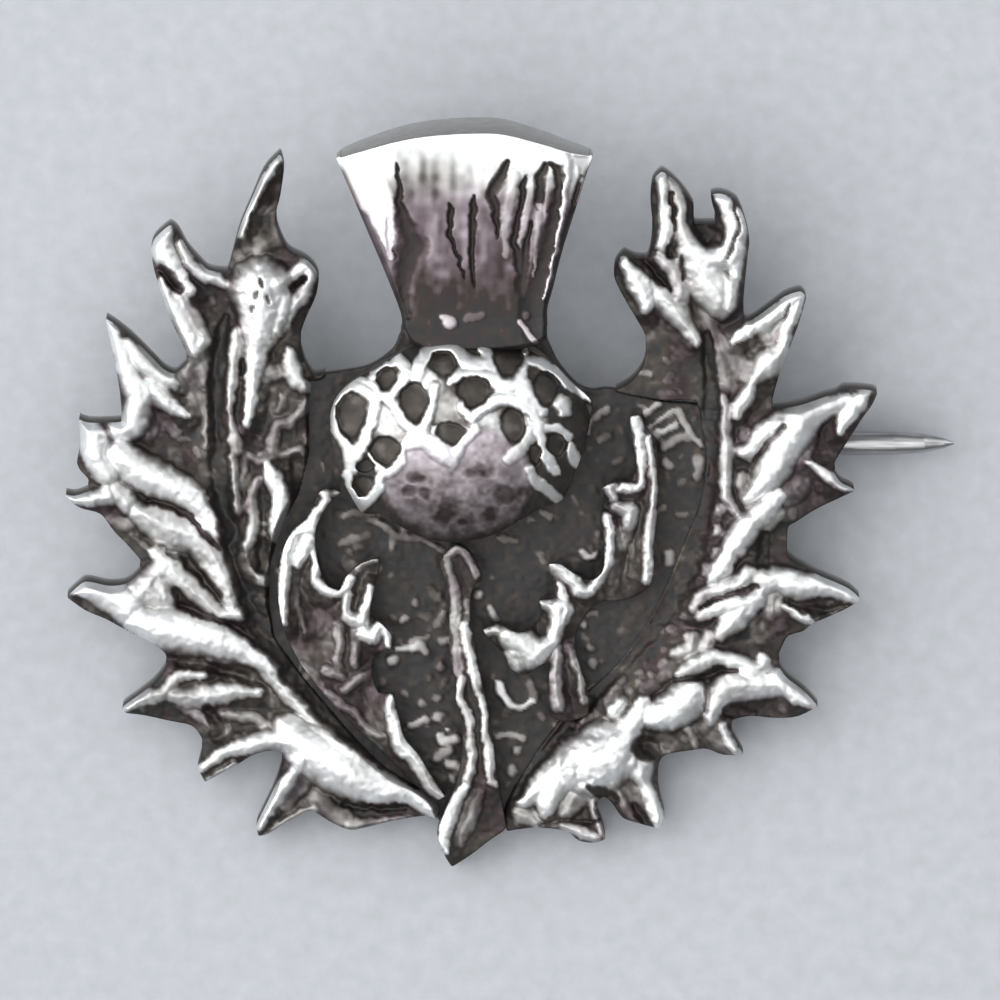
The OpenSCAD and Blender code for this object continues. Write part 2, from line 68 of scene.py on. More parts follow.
def eased(rows, steps, closed=False):
    """Curve through the rows, p(t) = h00 p0 + h10 m0 + h01 p1 + h11 m1 with the cubic
    Hermite weights. A tangent m shrinks to nothing where the line turns sharply, so tips stay tips."""
    rows = np.array(rows, float)
    before = np.roll(rows, 1, axis=0)
    after = np.roll(rows, -1, axis=0)
    if not closed:
        before[0] = rows[0]
        after[-1] = rows[-1]
    back = (rows - before)[:, :2]
    ahead = (after - rows)[:, :2]
    size = np.linalg.norm(back, axis=1) * np.linalg.norm(ahead, axis=1) + LEAST_SIZE
    keep = np.clip(((back * ahead).sum(1) / size + TIP_COSINE) / (1 + TIP_COSINE), 0, 1)
    slope = (after - before) / 2 * keep[:, None]
    ends = np.roll(rows, -1, axis=0)
    end_slope = np.roll(slope, -1, axis=0)
    last = len(rows) if closed else len(rows) - 1
    t = (np.arange(steps) / steps)[None, :, None]
    parts = ((2 * t**3 - 3 * t**2 + 1) * rows[:last, None] + (t**3 - 2 * t**2 + t) * slope[:last, None]
             + (3 * t**2 - 2 * t**3) * ends[:last, None] + (t**3 - t**2) * end_slope[:last, None])
    curve = parts.reshape(-1, rows.shape[1])
    return curve if closed else np.vstack([curve, rows[-1]])


def edge_reach(x, y, loop):
    """Distance to the closed loop, positive inside, and the loop's nearest place.
    For each side a to b the foot is a + t(b - a), with t = (p - a).(b - a)/|b - a|^2 held to 0..1."""
    best = np.full(x.shape, np.inf)
    near_x = np.zeros(x.shape)
    near_y = np.zeros(x.shape)
    inside = np.zeros(x.shape, bool)
    for (ax, ay), (bx, by) in zip(loop, np.roll(loop, -1, axis=0)):
        dx, dy = bx - ax, by - ay
        t = np.clip(((x - ax) * dx + (y - ay) * dy) / (dx * dx + dy * dy + LEAST_SQUARE), 0, 1)
        foot_x = ax + t * dx
        foot_y = ay + t * dy
        gap = (x - foot_x)**2 + (y - foot_y)**2
        closer = gap < best
        best = np.where(closer, gap, best)
        near_x = np.where(closer, foot_x, near_x)
        near_y = np.where(closer, foot_y, near_y)
        if dy:
            inside ^= ((ay > y) != (by > y)) & (x < ax + (y - ay) * dx / dy)
    reach = np.sqrt(best)
    return np.where(inside, reach, -reach), near_x, near_y


def one_patch(cell, start):
    """The filled cells joined to the start cell side by side. Wherever two of them touch at a corner
    alone, a third is added, so that no edge of the mesh carries more than two faces."""
    patch = np.zeros_like(cell)
    patch[start] = True
    while True:
        wide = patch.copy()
        wide[1:] |= patch[:-1]
        wide[:-1] |= patch[1:]
        wide[:, 1:] |= wide[:, :-1].copy()
        wide[:, :-1] |= wide[:, 1:].copy()
        wide &= cell
        if (wide == patch).all():
            break
        patch = wide
    while True:
        a, b, c, d = patch[:-1, :-1], patch[:-1, 1:], patch[1:, :-1], patch[1:, 1:]
        falling = a & d & ~b & ~c
        rising = b & c & ~a & ~d
        if not (falling.any() or rising.any()):
            return patch
        patch[:-1, 1:] |= falling
        patch[:-1, :-1] |= rising


def to_row(px, py, w_mm):
    """Place in metres of what is seen at a photo pixel, w over the flat back.
    x = (px - 460) 0.04 - 1.96, y = (490 - py) 0.04, z = lift + y tan(tilt) + w/cos(tilt)."""
    seen_y = (ORIGIN_PX[1] - py) * PX_MM
    seen_x = (px - ORIGIN_PX[0]) * PX_MM + ROW_SHIFT
    height = REST_LIFT + seen_y * TILT_SIN / TILT_COS + w_mm / TILT_COS
    return np.stack([seen_x, seen_y, height], axis=-1) * MM


def relief_piece(name, outline, surface, material, back_mm=0.0, edge_mm=LEAF_EDGE_MM,
                 pitch_px=LEAF_PITCH_PX, wall_patina=WALL_PATINA):
    """A closed relief over a grid of photo pixels: the top z = w(x, y) inside the outline, a wall round it
    and a flat back. The wall leans by edge*sin(tilt), because the photo sees the brooch tilted, so the top
    fills the part of the outline that stays inside when it is moved up by that much. The grid's border
    points are moved onto the outline, and w is taken there as for no reach, so the wall stays smooth."""
    loop = eased(outline, CURVE_STEPS, closed=True)
    low = loop.min(0) - 2 * pitch_px
    high = loop.max(0) + 2 * pitch_px
    x, y = np.meshgrid(np.arange(low[0], high[0], pitch_px), np.arange(low[1], high[1], pitch_px))
    lean = (edge_mm(x) if callable(edge_mm) else edge_mm + 0 * x) * TILT_SIN / PX_MM
    reach, near_x, near_y = edge_reach(x, y, loop)
    moved, moved_x, moved_y = edge_reach(x, y - lean, loop)
    upper = moved < reach
    reach = np.where(upper, moved, reach)
    near_x = np.where(upper, moved_x, near_x)
    near_y = np.where(upper, moved_y + lean, near_y)

    middle = (reach[:-1, :-1] + reach[:-1, 1:] + reach[1:, :-1] + reach[1:, 1:]) / 4
    cell = one_patch(middle > 0, np.unravel_index(middle.argmax(), middle.shape))
    around = np.zeros(x.shape, int)
    for rows, columns in ((slice(1, None), slice(1, None)), (slice(1, None), slice(None, -1)),
                          (slice(None, -1), slice(1, None)), (slice(None, -1), slice(None, -1))):
        around[rows, columns] += cell
    used = around > 0
    border = used & (around < 4)

    w, patina, mauve = surface(x, y, np.where(border, 0, np.maximum(reach, 0)))
    w = np.maximum(w, back_mm + LEAST_THICKNESS_MM)
    gap = np.hypot(near_x - x, near_y - y)
    snapped = border & (gap < 2 * pitch_px)
    x = np.where(snapped, near_x, x)
    y = np.where(snapped, near_y, y)

    count, ring_count = used.sum(), border.sum()
    index = np.full(x.shape, -1)
    index[used] = np.arange(count)
    ring = np.full(x.shape, -1)
    ring[border] = count + np.arange(ring_count)
    back = np.full(x.shape, -1)
    back[used] = count + ring_count + np.arange(count)
    rim_lean = RIM_MM * TILT_SIN / PX_MM
    points = np.vstack([to_row(x[used], y[used], w[used]),
                        to_row(x[border], y[border] - rim_lean, w[border] - RIM_MM),
                        to_row(x[used], y[used] - lean[used], np.full(count, back_mm))])
    tone = np.concatenate([patina[used], np.full(ring_count, wall_patina), np.full(count, BACK_PATINA)])
    tint = np.concatenate([mauve[used], np.zeros(ring_count + count)])

    corners = [(slice(None, -1), slice(None, -1)), (slice(1, None), slice(None, -1)),
               (slice(1, None), slice(1, None)), (slice(None, -1), slice(1, None))]
    top_quads = np.stack([index[c][cell] for c in corners], axis=1)
    back_quads = np.stack([back[c][cell] for c in corners[::-1]], axis=1)
    framed = np.pad(cell, 1)
    beside = [framed[1:-1, :-2], framed[2:, 1:-1], framed[1:-1, 2:], framed[:-2, 1:-1]]
    walls = []
    for side, filled in enumerate(beside):
        bare = cell & ~filled
        start = corners[side]
        end = corners[(side + 1) % 4]
        for above, below in ((index, ring), (ring, back)):
            walls.append(np.stack([above[end][bare], above[start][bare],
                                   below[start][bare], below[end][bare]], axis=1))
    quads = np.vstack([top_quads, *walls, back_quads])

    mesh = bpy.data.meshes.new(name)
    mesh.from_pydata(points.tolist(), [], quads.tolist())
    mesh.polygons.foreach_set("use_smooth", np.arange(len(quads)) < len(quads) - len(back_quads))
    for attribute, values in (("patina", tone), ("mauve", tint)):
        mesh.attributes.new(attribute, "FLOAT", "POINT").data.foreach_set("value", values.astype(np.float32))
    mesh.materials.append(material)
    piece = bpy.data.objects.new(name, mesh)
    bpy.context.scene.collection.objects.link(piece)
    return piece


# the ground plate, which the leaves' inner edges sink into
# columns: photo x, photo y
PLATE_OUTLINE = [
    (303, 374), (340, 369), (370, 363), (393, 347), (401, 330), (412, 322), (538, 322), (548, 339),
    (559, 361), (577, 381), (592, 387), (612, 386), (660, 398), (706, 404), (714, 460), (708, 504),
    (698, 530), (684, 562), (664, 602), (636, 646), (602, 688), (574, 716), (544, 756), (522, 792),
    (505, 828), (480, 838), (445, 828), (425, 800), (390, 776), (340, 732), (298, 684), (266, 640),
    (260, 600), (262, 560), (274, 520), (290, 490), (300, 450), (300, 400)]

# columns: size of the noise and span of the move, both in pixels
WOBBLE = (8, 3.2)
FINE_WOBBLE = (3.5, 1.6)


def uneven(x, y, size_px, seed):
    """Value noise 0 to 1: random heights on a lattice of this spacing, eased by 3t^2 - 2t^3 between them."""
    u = (x - x.min()) / size_px
    v = (y - y.min()) / size_px
    lattice = np.random.default_rng(seed).random((int(v.max()) + 3, int(u.max()) + 3))
    col, row = u.astype(int), v.astype(int)
    fu, fv = u - col, v - row
    fu, fv = fu * fu * (3 - 2 * fu), fv * fv * (3 - 2 * fv)
    upper = lattice[row, col] * (1 - fu) + lattice[row, col + 1] * fu
    lower = lattice[row + 1, col] * (1 - fu) + lattice[row + 1, col + 1] * fu
    return upper * (1 - fv) + lower * fv


def bent(x, y):
    """The places moved by coarse and fine noise, because a hand cut the pattern."""
    moved = []
    for axis, seed in ((x, 1), (y, 3)):
        coarse = WOBBLE[1] * (uneven(x, y, WOBBLE[0], seed) - 0.5)
        fine = FINE_WOBBLE[1] * (uneven(x, y, FINE_WOBBLE[0], seed + 1) - 0.5)
        moved.append(axis + coarse + fine)
    return moved


def raised(x, y, strokes, fall, by_width=False):
    """Level of the modelled ridges: the greatest over all strokes of level (1 - (d/r)^fall), d being the
    distance to the stroke's line and r its half width there, both in pixels. By width, it is times r. The
    places are first bent. Each stroke is worked out in the window of the grid that it reaches."""
    level = np.zeros(x.shape)
    step = x[0, 1] - x[0, 0]
    bent_x, bent_y = bent(x, y)
    for top, rows in strokes:
        line = eased(rows, CURVE_STEPS) if len(rows) > 1 else np.array([rows[0], rows[0]], float)
        for (ax, ay, ar), (bx, by, br) in zip(line[:-1], line[1:]):
            far = max(ar, br)
            first_col = max(int((min(ax, bx) - far - x[0, 0]) / step), 0)
            last_col = int((max(ax, bx) + far - x[0, 0]) / step) + 2
            first_row = max(int((min(ay, by) - far - y[0, 0]) / step), 0)
            last_row = int((max(ay, by) + far - y[0, 0]) / step) + 2
            window = (slice(first_row, max(last_row, 0)), slice(first_col, max(last_col, 0)))
            wx, wy = bent_x[window], bent_y[window]
            if not wx.size:
                continue
            dx, dy = bx - ax, by - ay
            t = np.clip(((wx - ax) * dx + (wy - ay) * dy) / (dx * dx + dy * dy + LEAST_SQUARE), 0, 1)
            half = ar + t * (br - ar)
            share = np.clip(np.hypot(wx - ax - t * dx, wy - ay - t * dy) / half, 0, 1)
            high = top * (half if by_width else 1)
            level[window] = np.maximum(level[window], high * (1 - share**fall))
    return level


def wider(strokes, times, extra_px=0.0):
    """The same strokes with half widths times r + extra: from the bright crest out to the lobe's foot."""
    return [(top, [(px, py, times * half + extra_px) for px, py, half in rows]) for top, rows in strokes]


def single(table):
    """Strokes of one place each, from a table with columns photo x, photo y, half width and level."""
    return [(level, [(px, py, half)]) for px, py, half, level in table]


GRAIN_SHIFT = 0.4
GRAIN_HALF_PX = (2.6, 5.5)
GRAIN_LOWEST = 0.05
GRAIN_LONGEST_PX = 9
GRAIN_TAPER = 0.8
GRAIN_MARGIN_PX = 4


def grains(outline, gap_px, seed, highest):
    """Short tapered grains on a square lattice of this gap, each moved by up to 0.4 of it and turned
    at random, inside the outline."""
    draw = np.random.default_rng(seed)
    low, high = np.min(outline, 0), np.max(outline, 0)
    px, py = np.meshgrid(np.arange(low[0], high[0], gap_px), np.arange(low[1], high[1], gap_px))
    px = px + draw.uniform(-GRAIN_SHIFT, GRAIN_SHIFT, px.shape) * gap_px
    py = py + draw.uniform(-GRAIN_SHIFT, GRAIN_SHIFT, py.shape) * gap_px
    half = draw.uniform(*GRAIN_HALF_PX, px.shape)
    level = draw.uniform(GRAIN_LOWEST, highest, px.shape)
    turn = draw.uniform(0, math.pi, px.shape)
    length = draw.uniform(0, GRAIN_LONGEST_PX, px.shape)
    end_x = px + length * np.cos(turn)
    end_y = py + length * np.sin(turn)
    keep = edge_reach(px, py, np.array(outline, float))[0] > GRAIN_MARGIN_PX
    return [(top, [(x0, y0, r), (x1, y1, GRAIN_TAPER * r)]) for top, x0, y0, r, x1, y1
            in zip(level[keep], px[keep], py[keep], half[keep], end_x[keep], end_y[keep])]


# the relief: how far the body spreads round a stroke, how much of each form counts, and how steeply it falls
BODY_REACH_PX = 22
BODY_SHARE = 0.45
CREST_SPREAD_PX = 0.3
RIDGE_FALL = 4.5
RIDGE_SHARE = 0.6
CUT_FALL = 3
CUT_DEPTH_MM = 0.22
SKIN_NOISE_PX = 5
SKIN_NOISE_MM = 0.05
# the edge: the height over its rim rises as reach^0.75, or straight where the piece sinks into the plate
EDGE_RISE = 2.0
EDGE_POWER = 0.75
SUNK_RUN_PX = 10
SUNK_EDGE_MM = 0.62
SUNK_SLOPE = 0.3
# the patina, from 0 rubbed bright to 1 dark, and the width of each noise in it
CREST_FALL = 6
CUT_HIDES = 0.95
CUT_PATINA = 0.97
SUNK_PATINA = 0.95
SUNK_DARK_START = 1.4
SUNK_DARK_PX = 12
UNRUBBED_PATINA = 0.98
RUBBED_OFF = 0.96
BLOTCH_PX = 11
GROUND_NOISE_PX = 24
GROUND_NOISE = 0.5
VEIL_PX = 22
VEIL_PATINA = 0.4
CREST_SPECK = 0.7
# the mauve bloom: patches over this level of their noise, gone where the patina is under 0.15 or nears 1
MAUVE_PX = 26
MAUVE_LEVEL = 0.45
MAUVE_STEEP = 4
MAUVE_FADE = 5.5


def modelled(strokes, cuts, loose, floor_mm, top_mm, seed, edge_rise_mm=1.25, swell=1.75, speck=0.26,
             dark=0.86, sink=1, mauve_share=1.0):
    """Surface of a modelled relief: w = floor + body + ridges - cuts, under a cap that rises inwards from
    the outline and stays low where the piece sinks into the plate. The body is b^2 (3 - 2b) of a cone b
    round each stroke. The patina is that of the ground or 1 - level plus a veil, whichever is lighter, with
    cuts and sunk edges dark, all a little uneven. The mauve comes in patches where it isn't darkest."""
    def surface(x, y, reach):
        cone = raised(x, y, wider(strokes, 1.0, BODY_REACH_PX), 1)
        body = cone * cone * (3 - 2 * cone)
        broad = wider(strokes, swell, CREST_SPREAD_PX) + loose
        ridge = raised(x, y, broad, RIDGE_FALL, by_width=True) * PX_MM
        cut = raised(x, y, cuts, CUT_FALL)
        shown = raised(x, y, broad, CREST_FALL) * (1 - CUT_HIDES * cut)
        grain = uneven(x, y, SKIN_NOISE_PX, seed) - 0.5
        w = floor_mm + (top_mm - floor_mm) * BODY_SHARE * body + RIDGE_SHARE * ridge
        w = w - CUT_DEPTH_MM * cut + SKIN_NOISE_MM * grain
        sunk = sink * np.clip(edge_reach(x, y, PLATE_OUTLINE)[0] / SUNK_RUN_PX, 0, 1)
        free_cap = edge_rise_mm + EDGE_RISE * (reach * PX_MM)**EDGE_POWER
        sunk_cap = SUNK_EDGE_MM + SUNK_SLOPE * reach * PX_MM
        cap = free_cap * (1 - sunk) + sunk_cap * sunk

        blotch = uneven(x, y, BLOTCH_PX, seed + 1) - 0.5
        ground = dark + GROUND_NOISE * (1 - dark**4) * (uneven(x, y, GROUND_NOISE_PX, seed + 3) - 0.5)
        ground = np.maximum(ground, CUT_PATINA * cut)
        sunk_edge = np.clip(SUNK_DARK_START - reach / SUNK_DARK_PX, 0, 1)
        ground = np.maximum(ground, SUNK_PATINA * sunk * sunk_edge)
        veil = VEIL_PATINA * np.clip(uneven(x, y, VEIL_PX, seed + 4) - 0.5, 0, 1)
        patina = np.minimum(ground, UNRUBBED_PATINA - RUBBED_OFF * shown + veil)
        patina = patina + speck * (1 - CREST_SPECK * shown) * (blotch + grain)
        patina = np.clip(patina, 0, 1)
        patches = np.clip(MAUVE_STEEP * (uneven(x, y, MAUVE_PX, seed + 2) - MAUVE_LEVEL), 0, 1)
        mauve = patches * np.clip(2 * patina - 0.3, 0, 1)
        mauve = mauve * np.clip(MAUVE_FADE * (1 - patina), 0, 1)
        return np.minimum(w, cap), patina, mauve_share * mauve
    return surface


def linear(hex_colour):
    """sRGB hex to linear: c/12.92 under 0.04045, else ((c + 0.055)/1.055)^2.4."""
    values = [int(hex_colour[i:i + 2], 16) / 255 for i in (1, 3, 5)]
    return tuple(c / 12.92 if c <= 0.04045 else ((c + 0.055) / 1.055)**2.4 for c in values) + (1,)


def add_node(tree, kind, settings=None, values=None, links=None):
    """Adds a node: settings are its attributes, values its inputs' numbers, links its inputs' sources."""
    node = tree.nodes.new(kind)
    for key, value in (settings or {}).items():
        setattr(node, key, value)
    for key, value in (values or {}).items():
        node.inputs[key].default_value = value
    for key, source in (links or {}).items():
        tree.links.new(source, node.inputs[key])
    return node


# Cast sterling silver with sulphide patina: near black, warm grey or mauve where it was left, near white
# where it was rubbed. The cast skin is finely grained, dull in the hollows and a little glossier on the
# worn ridges. Its grain is that of fine casting sand, drawn about twice as coarse so that it shows.
PATINA_TONES = ((0.0, "#f4f5f5"), (0.2, "#cfcfce"), (0.42, "#a3a19e"), (0.6, "#7a7674"), (0.8, "#534e49"),
                (1.0, "#444343"))
MAUVE = "#dbcdd8"
BRIGHT_ROUGHNESS = 0.5
DARK_ROUGHNESS = 0.65
MOTTLE_MM = 0.5
MOTTLE_PATINA = 0.09
GRAIN_MM = 0.22
GRAIN_HEIGHT_MM = 0.012
GRAIN_STRENGTH = 0.5
cast_silver = bpy.data.materials.new("cast_silver_sulphide_patina")
cast_silver.use_nodes = True
tree = cast_silver.node_tree
shader = tree.nodes["Principled BSDF"]
shader.inputs["Metallic"].default_value = 1.0
coords = add_node(tree, "ShaderNodeTexCoord")
patina_read = add_node(tree, "ShaderNodeAttribute", {"attribute_name": "patina"})
mottle = add_node(tree, "ShaderNodeTexNoise", {}, {"Scale": 1 / (MOTTLE_MM * MM), "Detail": 3.0},
                  {"Vector": coords.outputs["Object"]})
spread = add_node(tree, "ShaderNodeMapRange", {}, {"To Min": -MOTTLE_PATINA, "To Max": MOTTLE_PATINA},
                  {"Value": mottle.outputs["Fac"]})
mixed = add_node(tree, "ShaderNodeMath", {"operation": "ADD", "use_clamp": True}, {},
                 {0: patina_read.outputs["Fac"], 1: spread.outputs["Result"]})
tones = add_node(tree, "ShaderNodeValToRGB", {}, {}, {"Fac": mixed.outputs["Value"]})
while len(tones.color_ramp.elements) < len(PATINA_TONES):
    tones.color_ramp.elements.new(0.5)
for stop, (place, colour) in zip(tones.color_ramp.elements, PATINA_TONES):
    stop.position = place
    stop.color = linear(colour)
mauve_read = add_node(tree, "ShaderNodeAttribute", {"attribute_name": "mauve"})
tinted = add_node(tree, "ShaderNodeMixRGB", {"blend_type": "MULTIPLY"}, {"Color2": linear(MAUVE)},
                  {"Fac": mauve_read.outputs["Fac"], "Color1": tones.outputs["Color"]})
dulling = add_node(tree, "ShaderNodeMapRange", {}, {"To Min": BRIGHT_ROUGHNESS, "To Max": DARK_ROUGHNESS},
                   {"Value": mixed.outputs["Value"]})
grain = add_node(tree, "ShaderNodeTexNoise", {}, {"Scale": 1 / (GRAIN_MM * MM), "Detail": 2.0},
                 {"Vector": coords.outputs["Object"]})
skin = add_node(tree, "ShaderNodeBump", {}, {"Strength": GRAIN_STRENGTH, "Distance": GRAIN_HEIGHT_MM * MM},
                {"Height": grain.outputs["Fac"]})
tree.links.new(tinted.outputs["Color"], shader.inputs["Base Color"])
tree.links.new(dulling.outputs["Result"], shader.inputs["Roughness"])
tree.links.new(skin.outputs["Normal"], shader.inputs["Normal"])

# columns: photo x, photo y
LEFT_LEAF_OUTLINE = [
    (281, 148), (265, 165), (252, 194), (241, 220), (234, 245), (228, 266), (210, 264), (201, 256),
    (188, 241), (179, 225), (171, 219), (156, 232), (152, 246), (155, 270), (163, 296), (172, 321),
    (185, 348), (188, 356), (176, 367), (165, 363), (154, 352), (134, 332), (118, 319), (105, 311),
    (108, 327), (114, 354), (120, 388), (122, 415), (90, 416), (78, 411), (81, 440), (77, 458),
    (80, 469), (88, 478), (90, 484), (75, 489), (63, 487), (67, 498), (81, 508), (101, 514),
    (115, 532), (128, 545), (142, 562), (128, 576), (110, 579), (90, 575), (81, 577), (63, 594),
    (85, 610), (106, 619), (126, 630), (148, 641), (164, 652), (166, 660), (155, 675), (139, 688),
    (124, 699), (121, 706), (126, 713), (142, 715), (170, 721), (192, 726), (202, 740), (199, 755),
    (197, 766), (205, 782), (235, 766), (251, 756), (268, 751), (282, 752), (281, 760), (274, 781),
    (262, 806), (256, 820), (258, 836), (268, 834), (290, 821), (311, 811), (330, 822), (349, 830),
    (364, 828), (394, 821), (425, 816), (436, 820), (440, 800), (420, 782), (380, 758), (335, 708),
    (300, 662), (276, 625), (276, 560), (290, 530), (310, 490), (318, 450), (318, 400), (330, 366),
    (315, 369), (306, 357), (301, 337), (306, 319), (317, 294), (319, 270), (309, 255), (288, 243),
    (277, 216), (281, 196), (285, 165)]
# columns: level, then for each place photo x, photo y, half width in pixels
LEFT_LEAF_RIDGES = [
    (.95, [(281, 158, 2), (263, 184, 4), (249, 206, 4.5), (241, 232, 4)]),
    (.4, [(275, 215, 3), (279, 238, 6), (264, 245, 6), (259, 256, 3)]),
    (.35, [(247, 242, 4), (247, 248, 4)]),
    (1, [(169, 227, 3), (164, 250, 8), (176, 273, 6), (191, 292, 4)]),
    (.85, [(182, 243, 2.5), (189, 262, 4), (205, 275, 5), (226, 284, 4)]),
    (.95, [(161, 282, 2.5), (170, 302, 4.5), (185, 328, 5), (194, 348, 5), (196, 353, 3)]),
    (.8, [(180, 297, 5), (194, 324, 7), (203, 339, 6), (198, 351, 3)]),
    (.95, [(262, 290, 20), (262, 325, 14), (258, 345, 9), (254, 372, 6), (252, 400, 4), (247, 424, 3)]),
    (.8, [(237, 333, 4), (235, 355, 5), (233, 378, 5), (231, 388, 4), (228, 412, 4), (232, 428, 4),
          (237, 451, 4)]),
    (.7, [(232, 458, 3.5), (234, 478, 3.5), (235, 497, 3.5), (238, 509, 5)]),
    (.9, [(280, 285, 4), (298, 272, 5), (313, 263, 5), (311, 276, 4), (306, 291, 5), (294, 306, 5),
          (286, 320, 4)]),
    (.8, [(289, 318, 3), (281, 334, 3)]),
    (.9, [(289, 351, 3), (291, 366, 6), (298, 382, 5), (316, 389, 3)]),
    (.55, [(289, 371, 4), (276, 372, 6), (266, 377, 4)]),
    (.5, [(284, 397, 3), (278, 412, 2.5)]),
    (.55, [(311, 402, 4), (301, 411, 4), (289, 423, 4), (277, 426, 4), (273, 440, 5), (272, 452, 5),
           (258, 460, 4), (249, 454, 2.5)]),
    (.5, [(281, 455, 3), (301, 451, 4)]),
    (.5, [(312, 441, 4), (326, 435, 3)]),
    (1, [(268, 466, 3), (274, 480, 6), (280, 494, 6), (280, 515, 6), (278, 530, 6), (279, 541, 3)]),
    (.7, [(259, 480, 3), (251, 498, 4), (254, 520, 4), (251, 538, 4), (242, 553, 4), (244, 567, 4),
          (253, 578, 4), (274, 581, 3.5)]),
    (.5, [(243, 452, 2), (246, 466, 2.5), (241, 489, 2)]),
    (.55, [(257, 599, 3), (265, 607, 5), (274, 601, 4)]),
    (.5, [(273, 618, 3), (276, 630, 3)]),
    (1, [(105, 314, 1.5), (121, 351, 6), (133, 385, 8), (140, 397, 9), (134, 422, 10), (121, 431, 8)]),
    (.95, [(125, 342, 3), (140, 359, 7), (163, 376, 7), (176, 386, 3)]),
    (.95, [(147, 385, 4), (162, 397, 7), (176, 409, 4), (189, 415, 2)]),
    (.45, [(190, 356, 6), (186, 376, 6), (194, 397, 5), (197, 412, 4)]),
    (.5, [(199, 352, 4), (206, 382, 5)]),
    (.5, [(205, 397, 3), (209, 420, 4), (208, 445, 3.5)]),
    (.4, [(151, 410, 5), (151, 428, 6), (148, 440, 4)]),
    (.4, [(163, 417, 4), (176, 432, 4)]),
    (1, [(84, 424, 6), (92, 440, 11), (97, 458, 9), (108, 474, 8)]),
    (1, [(121, 455, 10), (146, 474, 12), (182, 490, 10), (202, 509, 7), (219, 532, 4)]),
    (.8, [(140, 513, 7), (167, 526, 13), (198, 538, 12), (213, 556, 10), (225, 581, 9), (233, 608, 4)]),
    (.85, [(69, 498, 2.5), (90, 499, 5), (110, 495, 7), (106, 482, 3)]),
    (.8, [(116, 488, 7), (128, 503, 7)]),
    (.4, [(113, 522, 3), (127, 526, 4)]),
    (.35, [(133, 535, 2), (146, 547, 2)]),
    (1, [(69, 591, 2), (90, 589, 7), (112, 596, 11), (128, 607, 11)]),
    (.85, [(146, 587, 7), (158, 572, 8), (170, 562, 7), (154, 552, 4)]),
    (.85, [(172, 572, 9), (190, 587, 7), (207, 602, 6), (222, 614, 5), (241, 613, 5)]),
    (1, [(137, 621, 10), (167, 628, 14), (205, 636, 13), (236, 647, 9), (256, 657, 7), (274, 670, 5)]),
    (.9, [(122, 710, 2), (141, 699, 5), (164, 692, 5), (176, 678, 4), (202, 675, 3)]),
    (.85, [(174, 696, 5), (194, 697, 8), (217, 694, 7), (240, 692, 5), (258, 693, 3)]),
    (.85, [(128, 603, 8), (146, 590, 11), (160, 597, 9)]),
    (.8, [(158, 576, 8), (166, 598, 8)]),
    (.35, [(267, 556, 5), (271, 562, 5)]),
    (.5, [(176, 698, 5), (190, 710, 4), (205, 721, 3), (216, 730, 1.5)]),
    (.6, [(211, 654, 5), (240, 655, 6), (260, 661, 5)]),
    (.5, [(225, 715, 3), (240, 715, 4), (257, 719, 4), (268, 730, 4)]),
    (.4, [(272, 700, 5), (274, 704, 4)]),
    (.9, [(196, 770, 2.5), (209, 764, 3), (223, 752, 4), (248, 745, 6), (270, 741, 7), (291, 742, 8)]),
    (.75, [(208, 782, 3), (235, 767, 3.5)]),
    (.8, [(257, 661, 4), (271, 676, 5), (294, 700, 5), (324, 730, 5), (353, 753, 5), (379, 769, 5)]),
    (1, [(286, 727, 9), (300, 742, 14), (333, 763, 17), (361, 779, 15), (386, 788, 12), (411, 791, 9),
         (427, 804, 7), (442, 818, 5)]),
    (.95, [(300, 760, 4), (286, 783, 5), (273, 799, 6), (265, 813, 5), (258, 827, 2.5)]),
    (.5, [(303, 773, 6), (295, 789, 7), (286, 806, 4)]),
    (.6, [(313, 810, 3), (291, 821, 3.5), (266, 836, 2.5)]),
    (.55, [(349, 826, 4), (366, 824, 4), (386, 821, 3), (411, 819, 2)]),
    (.4, [(318, 800, 8), (330, 815, 7), (345, 818, 6)]),
    (.45, [(237, 738, 3), (243, 742, 3)])]
# columns: level, then for each place photo x, photo y, half width in pixels
LEFT_LEAF_CUTS_AND_SHADE = [
    (1, [(226, 318, 4), (220, 350, 9), (218, 400, 11), (220, 470, 11), (230, 535, 12), (247, 592, 13),
         (264, 628, 15), (290, 672, 13), (324, 712, 11), (368, 750, 9), (417, 786, 6)]),
    (.7, [(149, 501, 3), (167, 507, 4), (190, 516, 4), (205, 535, 4), (219, 547, 3)]),
    (.6, [(167, 553, 3), (193, 567, 5), (207, 581, 6), (221, 595, 4)]),
    (.75, [(176, 590, 5), (179, 607, 4), (205, 616, 4), (236, 627, 4), (257, 644, 4)]),
    (1, [(344, 806, 3), (361, 806, 4), (386, 808, 4), (407, 806, 3)]),
    (1, [(293, 289, 4), (305, 279, 4)]),
    (.8, [(243, 362, 4), (243, 374, 4)]),
    (.9, [(163, 270, 5), (172, 280, 8), (181, 290, 5)]),
    (.7, [(257, 294, 2.5), (256, 299, 2)]),
    (.7, [(262, 281, 2), (263, 286, 2.5)]),
    (.65, [(254, 308, 2.5), (252, 313, 2)]),
    (.65, [(267, 298, 2), (270, 303, 2.5)]),
    # painted shade: this dark cut along the lobe's lower edge stands for the shaded side wall under it, and
    # it also sinks a shallow groove
    (.9, [(112, 622, 2), (130, 636, 3), (150, 650, 3.5), (164, 658, 4)]),
    (.9, [(206, 708, 6), (214, 722, 8), (218, 736, 8)]),
    (.85, [(180, 664, 5), (215, 668, 6), (245, 678, 5)]),
    (.9, [(262, 545, 7), (264, 560, 8), (262, 570, 6)]),
    (.85, [(296, 460, 8), (300, 490, 9), (294, 515, 8)])]

